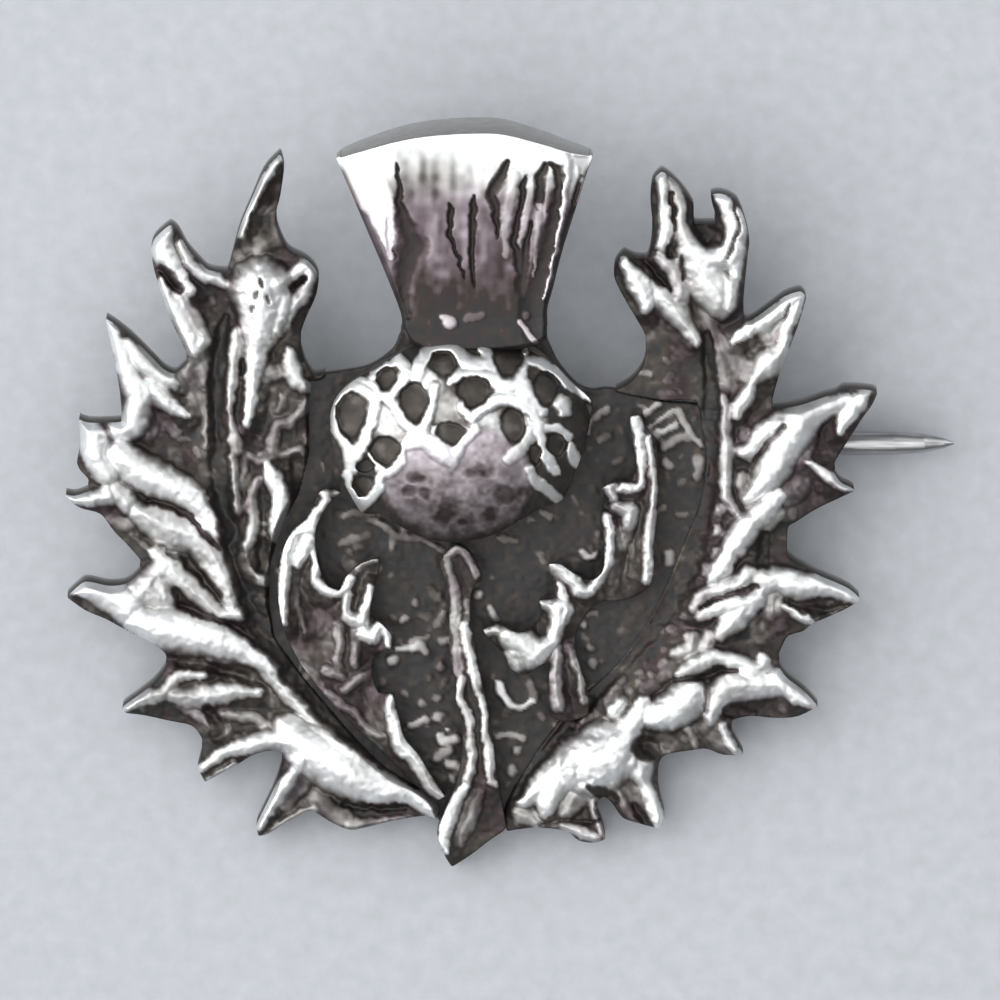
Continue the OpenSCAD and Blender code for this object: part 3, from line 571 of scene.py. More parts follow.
left_grains = grains(LEFT_LEAF_OUTLINE, LEAF_GRAIN_GAP_PX, seed=6, highest=LEAF_GRAIN_LEVEL)
left_surface = modelled(LEFT_LEAF_RIDGES, LEFT_LEAF_CUTS_AND_SHADE, left_grains, LEAF_FLOOR_MM, LEAF_TOP_MM, seed=11)
left_leaf = relief_piece("leaf_left", LEFT_LEAF_OUTLINE, left_surface, cast_silver)
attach(left_leaf, "brooch")
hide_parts("casting")

# Right leaf: the big spiny leaf on the pin's side, the left one's near twin in the same casting.
# Its upper lobes fork round a deep hollow, and the pin's point shows beyond its middle lobe.
# columns: photo x, photo y
RIGHT_LEAF_OUTLINE = [
    (600, 386), (612, 385), (631, 375), (644, 357), (645, 336), (636, 319), (622, 295), (614, 277),
    (615, 258), (624, 247), (636, 252), (647, 252), (650, 243), (652, 224), (650, 200), (652, 176),
    (661, 166), (670, 171), (682, 183), (693, 200), (693, 212), (695, 218), (716, 218), (711, 202),
    (710, 189), (721, 188), (736, 195), (745, 217), (749, 239), (747, 256), (743, 299), (744, 313),
    (750, 314), (765, 304), (784, 290), (800, 285), (806, 294), (799, 321), (789, 348), (779, 374),
    (771, 403), (798, 399), (825, 390), (836, 387), (845, 382), (872, 384), (878, 389), (872, 404),
    (862, 418), (855, 429), (835, 461), (835, 468), (841, 476), (851, 481), (861, 488), (839, 498),
    (816, 509), (797, 521), (788, 527), (787, 542), (788, 550), (801, 559), (820, 569), (849, 582),
    (864, 597), (849, 607), (830, 616), (812, 624), (803, 631), (788, 636), (780, 651), (779, 657),
    (786, 670), (805, 685), (822, 704), (799, 716), (776, 718), (751, 716), (733, 720), (732, 727),
    (738, 738), (748, 755), (724, 755), (707, 749), (694, 750), (669, 754), (661, 759), (658, 772),
    (660, 789), (665, 812), (661, 829), (640, 824), (623, 818), (612, 803), (604, 797), (596, 803),
    (603, 820), (606, 839), (594, 843), (579, 841), (565, 831), (536, 828), (516, 830), (507, 831),
    (500, 800), (508, 775), (535, 738), (566, 698), (608, 668), (638, 630), (664, 585), (675, 555),
    (688, 520), (697, 500), (702, 460), (697, 402), (660, 400), (625, 395)]
# columns: level, then for each place photo x, photo y, half width in pixels
RIGHT_LEAF_RIDGES = [
    (1, [(624, 262, 3), (634, 278, 7), (645, 299, 7), (646, 311, 3)]),
    (.85, [(647, 281, 2), (657, 293, 4), (671, 305, 9), (680, 319, 7), (689, 331, 5), (697, 343, 3)]),
    (.8, [(659, 259, 4), (667, 266, 5), (674, 276, 5), (679, 288, 6), (678, 300, 7)]),
    (.7, [(677, 262, 3), (676, 272, 4)]),
    (1, [(660, 176, 3.5), (663, 197, 4.5), (665, 217, 4), (665, 232, 5), (661, 247, 4.5)]),
    (.8, [(670, 183, 3), (674, 194, 4), (679, 211, 4), (681, 227, 4.5), (684, 240, 6)]),
    (.95, [(689, 250, 8), (705, 261, 10), (722, 258, 9), (730, 247, 6)]),
    (.85, [(696, 268, 9), (705, 281, 12), (716, 292, 14), (720, 302, 11)]),
    (1, [(718, 194, 3.5), (725, 206, 5), (731, 222, 5), (732, 237, 6), (726, 249, 6)]),
    (.95, [(737, 211, 2), (740, 224, 3.5), (739, 242, 4.5), (735, 261, 4.5), (734, 280, 3.5),
           (731, 299, 3), (729, 310, 2)]),
    (.45, [(702, 311, 4), (710, 325, 5), (717, 344, 6), (722, 364, 8), (727, 384, 6)]),
    (.4, [(734, 358, 8), (736, 370, 8)]),
    (1, [(800, 290, 2), (788, 302, 5), (770, 317, 5.5), (750, 329, 4), (733, 341, 3)]),
    (.95, [(802, 293, 2.5), (797, 306, 3.5), (790, 321, 4), (785, 336, 4), (782, 349, 3)]),
    (.6, [(765, 331, 6), (771, 338, 8), (780, 328, 5)]),
    (.85, [(783, 352, 5), (771, 361, 9), (761, 371, 7), (754, 380, 4)]),
    (.55, [(750, 368, 5), (745, 376, 4)]),
    (.35, [(753, 346, 4), (758, 350, 4)]),
    (.9, [(752, 381, 2), (746, 395, 6), (738, 408, 5), (735, 417, 2)]),
    (.75, [(721, 397, 3), (725, 411, 4), (724, 431, 4.5), (726, 451, 5), (726, 470, 4.5), (725, 493, 4),
           (730, 504, 4), (738, 516, 3)]),
    (1, [(868, 391, 2.5), (855, 405, 6), (843, 421, 5), (839, 431, 3)]),
    (1, [(846, 402, 5), (824, 408, 8), (805, 417, 11), (793, 431, 14), (784, 448, 12), (776, 464, 12),
         (765, 479, 10), (756, 490, 6), (748, 499, 4)]),
    (.95, [(776, 422, 7), (762, 435, 8), (753, 447, 6), (744, 454, 4)]),
    (.5, [(808, 440, 6), (801, 452, 7), (795, 467, 6)]),
    (.6, [(744, 431, 4), (744, 435, 4)]),
    (.75, [(741, 451, 5), (750, 456, 4), (757, 446, 4)]),
    (.7, [(742, 476, 4), (740, 487, 4), (744, 496, 4), (747, 504, 3)]),
    (.9, [(808, 463, 2.5), (819, 471, 3), (832, 480, 4), (845, 486, 4), (859, 487, 2.5)]),
    (.45, [(797, 485, 9), (789, 498, 6)]),
    (.4, [(785, 514, 5), (791, 514, 5)]),
    (1, [(780, 495, 4), (770, 503, 6), (760, 515, 8), (749, 524, 9), (741, 534, 9), (734, 545, 8),
         (729, 555, 7), (722, 566, 7), (714, 577, 6)]),
    (.65, [(777, 514, 5), (766, 526, 5)]),
    (.6, [(719, 511, 5)]), (.6, [(717, 531, 4)]), (.6, [(717, 554, 5)]), (.6, [(705, 569, 5)]),
    (.6, [(698, 469, 5)]),
    (.95, [(860, 602, 2), (844, 591, 6), (824, 585, 7), (797, 585, 9), (777, 578, 8), (765, 582, 9)]),
    (.6, [(773, 597, 8), (773, 611, 6)]),
    (.3, [(776, 621, 8), (760, 628, 9)]),
    (.9, [(749, 574, 6), (738, 585, 8), (717, 590, 6), (703, 595, 5), (694, 607, 4)]),
    (.95, [(756, 599, 7), (744, 603, 8), (723, 605, 6), (706, 613, 5), (698, 617, 3)]),
    (.9, [(744, 609, 8), (730, 623, 8), (721, 634, 5)]),
    (.85, [(785, 607, 2), (797, 612, 5), (810, 621, 3)]),
    (.6, [(709, 637, 5), (706, 648, 5)]),
    (.65, [(694, 637, 4), (691, 648, 5), (676, 654, 5)]),
    (.95, [(682, 672, 5), (697, 664, 6), (712, 657, 5), (723, 658, 5), (743, 664, 6), (755, 670, 7),
           (764, 664, 5), (761, 657, 3)]),
    (1, [(774, 675, 5), (789, 689, 6), (804, 701, 5), (820, 709, 2)]),
    (.9, [(780, 684, 8), (757, 684, 10), (735, 685, 11), (722, 692, 9), (715, 706, 7), (710, 719, 5)]),
    (.45, [(709, 727, 7), (720, 741, 6), (735, 752, 3)]),
    (1, [(694, 686, 6), (688, 699, 13), (668, 712, 12), (652, 719, 7)]),
    (.85, [(722, 726, 3), (726, 738, 3.5), (737, 750, 3), (745, 758, 1.5)]),
    (.5, [(689, 730, 3), (696, 747, 2.5)]),
    (1, [(590, 765, 20), (613, 757, 17), (621, 739, 11), (636, 718, 7), (642, 703, 5)]),
    (.95, [(640, 765, 9), (644, 782, 5), (651, 801, 5), (657, 817, 4.5), (660, 827, 2.5)]),
    (.4, [(621, 781, 7), (633, 799, 8), (634, 816, 5)]),
    (.6, [(613, 785, 2.5), (628, 811, 3), (640, 823, 2)]),
    (.7, [(595, 804, 4), (599, 820, 4), (604, 836, 2)]),
    (.95, [(600, 743, 14), (575, 758, 12), (561, 770, 11), (543, 786, 9), (525, 800, 6)]),
    (1, [(566, 774, 10), (552, 791, 10), (546, 808, 6)]),
    (.7, [(590, 784, 9), (574, 799, 8), (566, 812, 5)]),
    (.68, [(521, 815, 6), (538, 822, 4)]),
    (.75, [(563, 826, 3), (580, 832, 4), (596, 838, 3)]),
    (.85, [(614, 712, 5), (622, 703, 4)]), (.55, [(603, 722, 4)]), (.5, [(646, 690, 5), (655, 682, 4)]),
    (.5, [(664, 675, 5), (672, 668, 4)]), (.45, [(610, 700, 4), (618, 690, 4)])]
# columns: level, then for each place photo x, photo y, half width in pixels
RIGHT_LEAF_CUTS = [
    (1, [(707, 335, 6), (711, 400, 9), (706, 470, 13), (698, 530, 14), (682, 578, 15), (660, 616, 13),
         (632, 652, 9), (596, 694, 8), (560, 734, 7), (532, 768, 6), (516, 796, 6)]),
    (.9, [(669, 249, 4), (669, 257, 4)]),
    (.7, [(682, 256, 2), (682, 280, 2)]),
    (.75, [(643, 259, 2), (655, 274, 3), (669, 290, 2)]),
    (.9, [(765, 538, 7), (763, 562, 8)]),
    (.95, [(791, 604, 4), (815, 611, 5), (850, 604, 2)]),
    (.62, [(784, 425, 3), (770, 440, 3.5), (754, 460, 3)]),
    (.75, [(733, 204, 1.5), (738, 229, 2), (733, 246, 2), (728, 260, 2)]),
    (.7, [(789, 305, 1.5), (784, 316, 2)]),
    (.72, [(757, 586, 3), (737, 593, 3.5), (717, 599, 3.5), (701, 607, 3)]),
    (.75, [(676, 680, 3), (697, 678, 4), (712, 674, 4), (737, 671, 3)]),
    (.85, [(670, 194, 2.5), (673, 217, 3), (674, 230, 2)]),
    (.95, [(700, 228, 9), (712, 238, 12)]),
    (.4, [(706, 689, 3), (705, 710, 3)]),
    (.95, [(640, 747, 12), (648, 749, 14)]),
    (.95, [(728, 712, 7), (742, 714, 8), (754, 714, 5)]),
    (.95, [(589, 787, 4), (599, 792, 7), (612, 799, 8)]),
    (.9, [(636, 806, 4), (643, 818, 7), (650, 826, 4)]),
    (.8, [(540, 824, 1.5), (560, 821, 1.5), (580, 822, 2), (600, 821, 2)])]
# columns: photo x, photo y, half width in pixels, level
RIGHT_LEAF_PEBBLES = [
    (608, 651, 6, .5), (600, 677, 5, .4), (621, 679, 8, .42), (639, 673, 5, .55), (639, 684, 5, .5),
    (662, 664, 6, .6), (652, 675, 5, .62), (656, 686, 5, .5), (671, 675, 5, .55), (661, 629, 6, .5),
    (672, 629, 6, .55), (680, 649, 6, .7), (689, 637, 6, .65), (684, 616, 5, .6), (704, 648, 6, .7),
    (708, 636, 5, .65), (609, 704, 6, .55), (624, 700, 6, .65), (617, 712, 6, .6), (640, 703, 5, .8),
    (582, 719, 5, .55), (593, 727, 5, .6), (576, 733, 5, .55), (569, 741, 5, .5), (604, 725, 6, .7),
    (614, 728, 6, .8), (598, 737, 6, .75), (605, 747, 6, .8), (563, 748, 5, .5), (562, 757, 6, .6),
    (546, 766, 6, .6), (534, 773, 5, .5), (590, 742, 5, .7), (583, 750, 6, .75), (645, 660, 4, .4),
    (630, 690, 4, .45), (690, 655, 5, .6), (697, 662, 5, .6)]

right_grains = single(RIGHT_LEAF_PEBBLES)
right_grains = right_grains + grains(RIGHT_LEAF_OUTLINE, LEAF_GRAIN_GAP_PX, seed=7, highest=LEAF_GRAIN_LEVEL)
right_surface = modelled(RIGHT_LEAF_RIDGES, RIGHT_LEAF_CUTS, right_grains, LEAF_FLOOR_MM, LEAF_TOP_MM,
                         seed=23)
right_leaf = relief_piece("leaf_right", RIGHT_LEAF_OUTLINE, right_surface, cast_silver)
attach(right_leaf, "brooch")
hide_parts("casting")

# Ground plate: the thin pebbled plate that ties the leaves, the head and the stem together.
# Its grains were punched into the pattern before casting, and it kept nearly all of its dark.
PLATE_BACK_MM = 0.05
PLATE_TOP_MM = 0.8
PLATE_RIDGE_MM = 1.15
PLATE_GRAIN_GAP_PX = 21
PLATE_GRAIN_LEVEL = 0.36
# columns: level, then for each place photo x, photo y, half width in pixels
PLATE_RIDGES = [
    (.5, [(368, 521, 3), (382, 524, 4), (391, 533, 4), (399, 537, 5), (417, 538, 4), (431, 544, 4),
          (444, 552, 3)]),
    (.5, [(392, 535, 4), (392, 547, 4)]),
    (.45, [(384, 509, 4), (395, 514, 4), (411, 520, 4), (404, 531, 4)]),
    (.65, [(397, 648, 4), (412, 648, 5), (420, 644, 5), (425, 651, 4)]),
    (.6, [(411, 725, 4), (427, 720, 4)]),
    (.7, [(439, 736, 5), (443, 742, 5), (457, 739, 5)]),
    (.6, [(449, 751, 6), (437, 758, 6)]),
    (.65, [(448, 765, 5), (467, 768, 5)]),
    (.4, [(443, 614, 4), (436, 625, 4)]),
    (.55, [(442, 641, 5), (457, 641, 4)]),
    (.55, [(490, 608, 4.5), (496, 620, 4.5)]),
    (.8, [(499, 683, 4), (502, 695, 4.5), (511, 705, 5), (525, 707, 4), (531, 702, 4)]),
    (.4, [(530, 685, 5), (533, 699, 5)]),
    (.5, [(498, 737, 3), (515, 735, 4), (523, 739, 4)]),
    (.55, [(576, 422, 4), (588, 421, 4), (588, 432, 4)]),
    (.5, [(594, 418, 4), (606, 410, 4)]),
    (.35, [(340, 543, 4), (352, 540, 5), (368, 535, 4)]),
    (.45, [(345, 515, 4), (357, 513, 5), (372, 515, 3)]),
    (.4, [(541, 512, 3), (549, 516, 5)]),
    (.35, [(420, 615, 3), (428, 618, 5)]),
    (.5, [(411, 640, 3), (428, 637, 3)]),
    (.3, [(346, 560, 6), (352, 570, 7)]),
    (.4, [(430, 590, 5), (437, 598, 5)]),
    (.4, [(600, 440, 5), (607, 436, 5)]),
    (.35, [(614, 462, 4), (622, 459, 4)]),
    (.45, [(500, 538, 4), (515, 541, 4)]),
    (.65, [(582, 553, 4), (588, 557, 4), (595, 555, 4)]),
    (.6, [(645, 413, 4), (658, 404, 4)]),
    (.55, [(651, 426, 3), (664, 418, 3), (676, 410, 4), (685, 423, 4), (694, 438, 4), (701, 445, 4)]),
    (.65, [(655, 435, 4), (676, 425, 4)]),
    (.5, [(664, 447, 5), (680, 438, 5), (689, 437, 5)]),
    (.45, [(666, 462, 5), (670, 466, 5)]),
    (.5, [(698, 460, 6), (698, 476, 5)]),
    (.5, [(669, 555, 6), (669, 562, 6)])]
# columns: photo x, photo y, half width in pixels, level
PLATE_GRAINS = [
    (392, 661, 7, .65), (440, 667, 5, .55), (429, 677, 5, .4), (437, 697, 5, .45), (439, 717, 7, .55),
    (423, 704, 5, .45), (448, 730, 3, .7), (454, 779, 5, .5), (439, 597, 5, .4), (404, 619, 5, .55),
    (415, 603, 4, .5), (391, 575, 4, .3), (479, 594, 5, .6), (583, 625, 5, .5), (590, 648, 5, .5),
    (593, 663, 6, .5), (581, 721, 5, .5), (545, 768, 5, .5), (564, 757, 6, .55), (517, 751, 6, .55),
    (511, 771, 7, .5), (597, 533, 4, .35), (663, 631, 6, .45), (688, 626, 4, .6), (682, 643, 4, .7)]

plate_grains = grains(PLATE_OUTLINE, PLATE_GRAIN_GAP_PX, seed=5, highest=PLATE_GRAIN_LEVEL)
plate_surface = modelled(PLATE_RIDGES + single(PLATE_GRAINS), [], plate_grains, PLATE_TOP_MM, PLATE_RIDGE_MM,
                         seed=31, swell=1.05, speck=0.14, dark=0.98, sink=0, mauve_share=0.5)
ground_plate = relief_piece("ground_plate", PLATE_OUTLINE, plate_surface, cast_silver,
                            back_mm=PLATE_BACK_MM, edge_mm=PLATE_TOP_MM, pitch_px=2.0)
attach(ground_plate, "brooch")
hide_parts("casting")

# Small leaves: two curled leaves that spring from the stem and lie on the plate beside it.
# Deep hollows run between their ribs, and the dark stayed in them.
INNER_BACK_MM = 0.3
SMALL_FLOOR_MM = 1.15
SMALL_TOP_MM = 2.9
# columns: photo x, photo y
SMALL_LEFT_OUTLINE = [
    (318, 492), (330, 486), (343, 491), (330, 503), (322, 515), (316, 530), (316, 548), (321, 570),
    (328, 584), (340, 588), (346, 575), (360, 562), (378, 556), (380, 566), (374, 590), (370, 612),
    (382, 622), (392, 634), (391, 650), (378, 652), (372, 668), (378, 690), (392, 692), (398, 712),
    (404, 735), (418, 752), (430, 772), (446, 796), (436, 800), (415, 785), (395, 765), (375, 745),
    (350, 722), (325, 695), (305, 670), (288, 640), (280, 612), (278, 580), (282, 552), (292, 530),
    (308, 515)]
SMALL_RIGHT_OUTLINE = [
    (629, 415), (640, 414), (648, 430), (656, 438), (657, 470), (658, 505), (654, 540), (653, 575),
    (645, 590), (625, 600), (600, 602), (585, 615), (575, 640), (580, 665), (588, 690), (588, 715),
    (565, 722), (550, 715), (548, 690), (550, 662), (540, 665), (525, 675), (510, 668), (505, 655),
    (490, 640), (482, 628), (498, 622), (515, 630), (530, 628), (542, 612), (538, 598), (552, 597),
    (553, 585), (548, 562), (560, 562), (575, 572), (592, 578), (603, 568), (604, 540), (600, 518),
    (604, 500), (601, 486), (615, 480), (630, 480), (636, 462), (632, 440)]
# columns: level, then for each place photo x, photo y, half width in pixels
SMALL_LEFT_RIDGES = [
    (.95, [(324, 493, 4), (326, 502, 4), (317, 514, 5), (310, 528, 8), (297, 533, 5), (289, 545, 4)]),
    (.7, [(328, 493, 4), (341, 493, 4)]),
    (.9, [(294, 537, 5), (287, 553, 6), (285, 577, 5), (283, 604, 5), (285, 624, 3)]),
    (1, [(309, 540, 7), (302, 553, 6), (298, 564, 4)]),
    (.45, [(297, 574, 2.5), (297, 597, 3), (301, 617, 3), (306, 631, 2)]),
    (.95, [(314, 548, 3), (316, 564, 4), (316, 580, 4.5), (324, 589, 5), (337, 592, 5), (348, 585, 5),
           (350, 578, 4)]),
    (.6, [(350, 577, 3), (361, 564, 4), (372, 560, 4), (378, 560, 2)]),
    (.9, [(348, 593, 4), (346, 607, 4), (350, 617, 6), (361, 621, 8)]),
    (.95, [(369, 588, 3.5), (369, 601, 4.5), (364, 612, 5), (361, 621, 6)]),
    (.95, [(364, 633, 6), (374, 636, 7), (381, 624, 5), (387, 633, 4), (389, 646, 2.5)]),
    (.5, [(338, 624, 4.5), (340, 644, 4.5), (338, 664, 4)]),
    (.55, [(356, 628, 4.5), (356, 651, 4.5), (354, 664, 4)]),
    (.35, [(366, 647, 4), (366, 657, 3)]),
    (.28, [(324, 597, 9), (324, 617, 9), (317, 631, 7)]),
    (.5, [(326, 670, 5), (343, 677, 4)]),
    (.5, [(344, 690, 4), (363, 675, 4)]),
    (.4, [(300, 663, 4), (313, 677, 5), (321, 690, 4)]),
    (.5, [(326, 692, 4), (344, 706, 4), (356, 716, 4), (369, 731, 4), (383, 736, 3)]),
    (.3, [(374, 677, 8), (376, 701, 8), (378, 726, 6)]),
    (.85, [(392, 696, 4), (391, 710, 5), (399, 733, 9), (402, 746, 8), (416, 760, 8), (426, 776, 6),
           (434, 789, 6), (446, 800, 4)])]
SMALL_RIGHT_RIDGES = [
    (1, [(635, 419, 5), (638, 437, 5), (641, 459, 4.5), (641, 481, 4), (636, 488, 4), (623, 488, 5)]),
    (.95, [(609, 488, 7), (613, 497, 5)]),
    (.85, [(648, 438, 3), (651, 459, 3), (653, 481, 3.5), (653, 503, 4), (650, 525, 5), (648, 547, 5),
           (648, 561, 4), (647, 580, 5)]),
    (.8, [(617, 506, 6), (629, 511, 8), (629, 522, 7)]),
    (.5, [(625, 532, 7), (623, 547, 4)]),
    (.9, [(606, 517, 4), (610, 532, 4), (610, 554, 4), (606, 569, 4), (597, 582, 5), (588, 591, 5),
          (579, 588, 7), (569, 576, 6), (559, 569, 7), (550, 563, 5)]),
    (.4, [(631, 547, 3), (633, 561, 3), (631, 576, 3)]),
    (.4, [(614, 561, 4), (617, 576, 4), (611, 591, 4)]),
    (.7, [(484, 632, 4), (498, 630, 5)]),
    (.98, [(509, 636, 10), (524, 645, 13), (534, 655, 12), (543, 648, 9), (552, 639, 6), (558, 622, 8),
           (558, 608, 9)]),
    (.9, [(558, 608, 8), (542, 603, 5)]),
    (.9, [(559, 585, 3), (565, 598, 4), (568, 610, 5), (561, 627, 4)]),
    (.8, [(512, 655, 7), (517, 663, 8)]),
    (.7, [(558, 648, 4), (556, 670, 6), (555, 689, 6), (558, 707, 6)]),
    (.6, [(568, 647, 4), (575, 663, 4), (581, 685, 3), (584, 701, 4)])]

# columns: name, outline, ridges, seed
small_leaves = (("small_leaf_left", SMALL_LEFT_OUTLINE, SMALL_LEFT_RIDGES, 41),
                ("small_leaf_right", SMALL_RIGHT_OUTLINE, SMALL_RIGHT_RIDGES, 43))
for name, outline, ridges, seed in small_leaves:
    curled = modelled(ridges, [], [], SMALL_FLOOR_MM, SMALL_TOP_MM, seed,
                      edge_rise_mm=2.5, swell=1.35, speck=0.18, dark=0.78, sink=0)
    small_leaf = relief_piece(name, outline, curled, cast_silver,
                              back_mm=INNER_BACK_MM, edge_mm=0.6, pitch_px=1.5)
    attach(small_leaf, "brooch")
    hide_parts("casting")

# Stem: the ribbed stalk from the head down to its spear foot, a ridge of the same casting.
# Two strips run along it with a dark line between them, and its foot is the brooch's lowest point.
STEM_BACK_MM = 0.0
STEM_FLOOR_MM = 1.5
STEM_TOP_MM = 2.6
# columns: photo x, photo y
STEM_OUTLINE = [
    (440, 563), (445, 550), (457, 541), (473, 552), (483, 578), (473, 588), (470, 612), (476, 645),
    (482, 680), (490, 714), (494, 745), (497, 775), (502, 800), (506, 828), (489, 841), (471, 855),
    (452, 867), (443, 852), (437, 830), (446, 805), (456, 780), (462, 750), (462, 720), (456, 700),
    (456, 680), (450, 660), (449, 620), (448, 590)]
# columns: level, then for each place photo x, photo y, half width in pixels
STEM_RIDGES = [
    (.55, [(448, 556, 4), (457, 550, 5), (464, 553, 4), (471, 564, 4), (476, 576, 3)]),
    (.55, [(447, 561, 4), (453, 580, 4), (456, 597, 5), (455, 617, 5), (456, 637, 4), (457, 657, 5),
           (458, 671, 6)]),
    (.45, [(467, 601, 3), (467, 619, 3)]),
    (.75, [(462, 677, 4), (459, 699, 4), (468, 714, 4), (471, 736, 5), (471, 765, 5), (467, 784, 5)]),
    (.5, [(479, 793, 6), (469, 817, 8), (460, 842, 5)]),
    (.85, [(465, 626, 4.5), (468, 648, 5), (473, 670, 5), (479, 692, 4), (484, 714, 3.5), (486, 736, 4),
           (489, 758, 6), (490, 780, 4), (495, 784, 3)]),
    (.95, [(465, 786, 4), (455, 804, 7), (449, 819, 8), (444, 839, 5), (447, 851, 3)])]

ribbed = modelled(STEM_RIDGES, [], [], STEM_FLOOR_MM, STEM_TOP_MM, seed=47,
                  edge_rise_mm=2.2, swell=1.2, speck=0.2, dark=0.88, sink=0)
stem = relief_piece("stem", STEM_OUTLINE, ribbed, cast_silver,
                    back_mm=STEM_BACK_MM, edge_mm=1.0, pitch_px=1.3)
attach(stem, "brooch")
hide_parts("casting")

# Head: the thistle's round head, a dome with a lattice of drop-shaped pits between broad bright bands.
# The pits were cut into the pattern before casting, and the smooth lower front was left a soft mauve.
HEAD_CENTRE_PX = (459, 440)
HEAD_HALF_PX = (134, 104)
HEAD_BASE_MM = 1.5
HEAD_TOP_MM = 4.1
HEAD_FRONT_PX = (457, 482)
HEAD_FRONT_HALF_PX = (76, 57)
HEAD_SWELL = 1.3
PIT_DEPTH_MM = 0.22
# columns: photo x, photo y
HEAD_OUTLINE = [
    (332, 405), (340, 390), (352, 379), (372, 367), (398, 352), (412, 344), (440, 338), (480, 338),
    (500, 332), (520, 335), (545, 352), (570, 378), (592, 400), (586, 440), (576, 470), (562, 500),
    (540, 508), (515, 523), (490, 536), (455, 542), (425, 538), (400, 526), (383, 514), (363, 513),
    (349, 492), (337, 465), (330, 430)]
# columns: photo x, photo y, half width, half height
HEAD_PITS = [
    (443, 366, 16, 15), (509, 360, 18, 21), (387, 380, 12, 14), (352, 416, 18, 25), (414, 403, 16, 23),
    (474, 393, 19, 18), (545, 390, 14, 20), (386, 452, 17, 17), (451, 434, 17, 13), (513, 427, 14, 19),
    (535, 455, 8, 12), (556, 446, 11, 14), (365, 466, 10, 7), (363, 486, 11, 12)]
# columns: level, then for each place photo x, photo y, half width in pixels
HEAD_BANDS = [
    (1, [(416, 380, 5), (420, 366, 6), (431, 351, 6), (443, 346, 6), (456, 351, 6), (466, 362, 7),
         (481, 365, 7)]),
    (1, [(452, 382, 4), (461, 375, 6), (475, 375, 6), (491, 379, 8), (509, 386, 8), (522, 383, 7)]),
    (1, [(481, 349, 4), (499, 338, 5), (513, 339, 5), (525, 351, 4)]),
    (1, [(486, 353, 5), (490, 366, 6), (495, 378, 6)]),
    (.95, [(527, 360, 4), (541, 364, 5), (557, 373, 5), (570, 385, 5), (590, 400, 3)]),
    (1, [(524, 366, 5), (518, 380, 7), (524, 392, 8), (533, 402, 6), (543, 412, 4)]),
    (1, [(461, 407, 5), (472, 419, 5), (481, 409, 6), (495, 400, 7), (513, 400, 7), (529, 409, 6),
         (538, 423, 5), (542, 441, 5), (547, 459, 5), (556, 471, 5)]),
    (.75, [(509, 459, 5), (524, 445, 6), (532, 430, 5)]),
    (1, [(386, 396, 5), (397, 411, 5), (406, 425, 5), (416, 432, 5), (425, 426, 5), (431, 407, 5),
         (434, 387, 5)]),
    (1, [(334, 403, 3), (350, 386, 5), (366, 391, 6), (374, 405, 6), (368, 430, 6), (359, 451, 6),
         (352, 459, 6)]),
    (.9, [(333, 410, 3), (337, 432, 4), (350, 451, 6), (352, 470, 5)]),
    (.95, [(374, 376, 4), (388, 367, 4), (399, 359, 5)]),
    (1, [(399, 359, 5), (407, 372, 6), (399, 385, 6), (390, 396, 6)]),
    (.95, [(350, 381, 3), (370, 382, 4), (380, 396, 5)]),
    (.85, [(436, 431, 4), (445, 452, 4), (456, 452, 5), (466, 438, 4), (475, 429, 5)]),
    (1, [(413, 436, 5), (404, 446, 5), (400, 462, 5), (388, 475, 4), (379, 467, 4), (371, 455, 3)]),
    (.7, [(406, 446, 5), (425, 440, 8), (441, 452, 9), (452, 462, 6)]),
    (1, [(348, 473, 4), (354, 491, 5), (363, 506, 5), (375, 495, 5), (381, 478, 5)]),
    (.95, [(561, 404, 8), (565, 411, 6)]),
    (.9, [(543, 427, 4), (556, 429, 5), (569, 437, 4)]),
    (.85, [(572, 444, 3), (573, 456, 6), (582, 467, 4)]),
    (.8, [(529, 469, 4), (537, 482, 5), (550, 491, 6), (559, 500, 5)])]
# columns: photo x, photo y, half width, half height, patina of the flat scales between the bands
HEAD_SCALES = [
    (392, 421, 26, 28, .2), (448, 410, 26, 26, .42), (489, 428, 24, 28, .28), (513, 392, 24, 20, .05),
    (478, 375, 24, 14, .05), (429, 452, 28, 20, .16), (431, 384, 16, 20, .12), (368, 402, 14, 16, .3),
    (536, 420, 14, 22, .12), (500, 450, 22, 14, .35)]
# columns: photo x, photo y, half width, half height of the front's darker stains
HEAD_STAINS = [
    (481, 472, 17, 9), (420, 478, 12, 6), (512, 496, 21, 14), (447, 510, 15, 15), (410, 493, 9, 7),
    (426, 497, 9, 8), (491, 515, 10, 9), (464, 522, 9, 6)]
# columns: photo y, tone of the smooth front: its patina, darkened towards its foot by painted shade
HEAD_FRONT_PATINA_AND_SHADE = [(440, .2), (470, .38), (500, .44), (535, .6)]
# a pit: the powers of its width and of its upper and lower half, and how wide its wall is
PIT_SIDE_POWER = 1.6
PIT_UPPER_POWER = 2.4
PIT_LOWER_POWER = 1.15
PIT_WALL = 0.35
# the relief between the pits
BAND_RISE = 0.45
BAND_RISE_FALL = 3
SCALE_DEPTH_MM = 0.12
STAIN_DEPTH_MM = 0.06
HEAD_SKIN_MM = 0.02
# the patina: where it ends sharply and how it varies
BAND_FALL = 6
FRONT_EDGE = 0.93
FRONT_EDGE_WIDTH = 0.12
BARE_PATINA = 0.93
STAIN_PATINA = 0.36
STAIN_STEEP = 1.6
SCALE_STEEP = 2
PIT_PATINA = 0.84
PIT_BLOTCH = 0.3
HEAD_BLOTCH_PX = 9
HEAD_BLOTCH = 0.25
HEAD_GRAIN_PX = 4
HEAD_GRAIN = 0.2
HEAD_MAUVE = 0.8
BAND_HIDES = 0.8


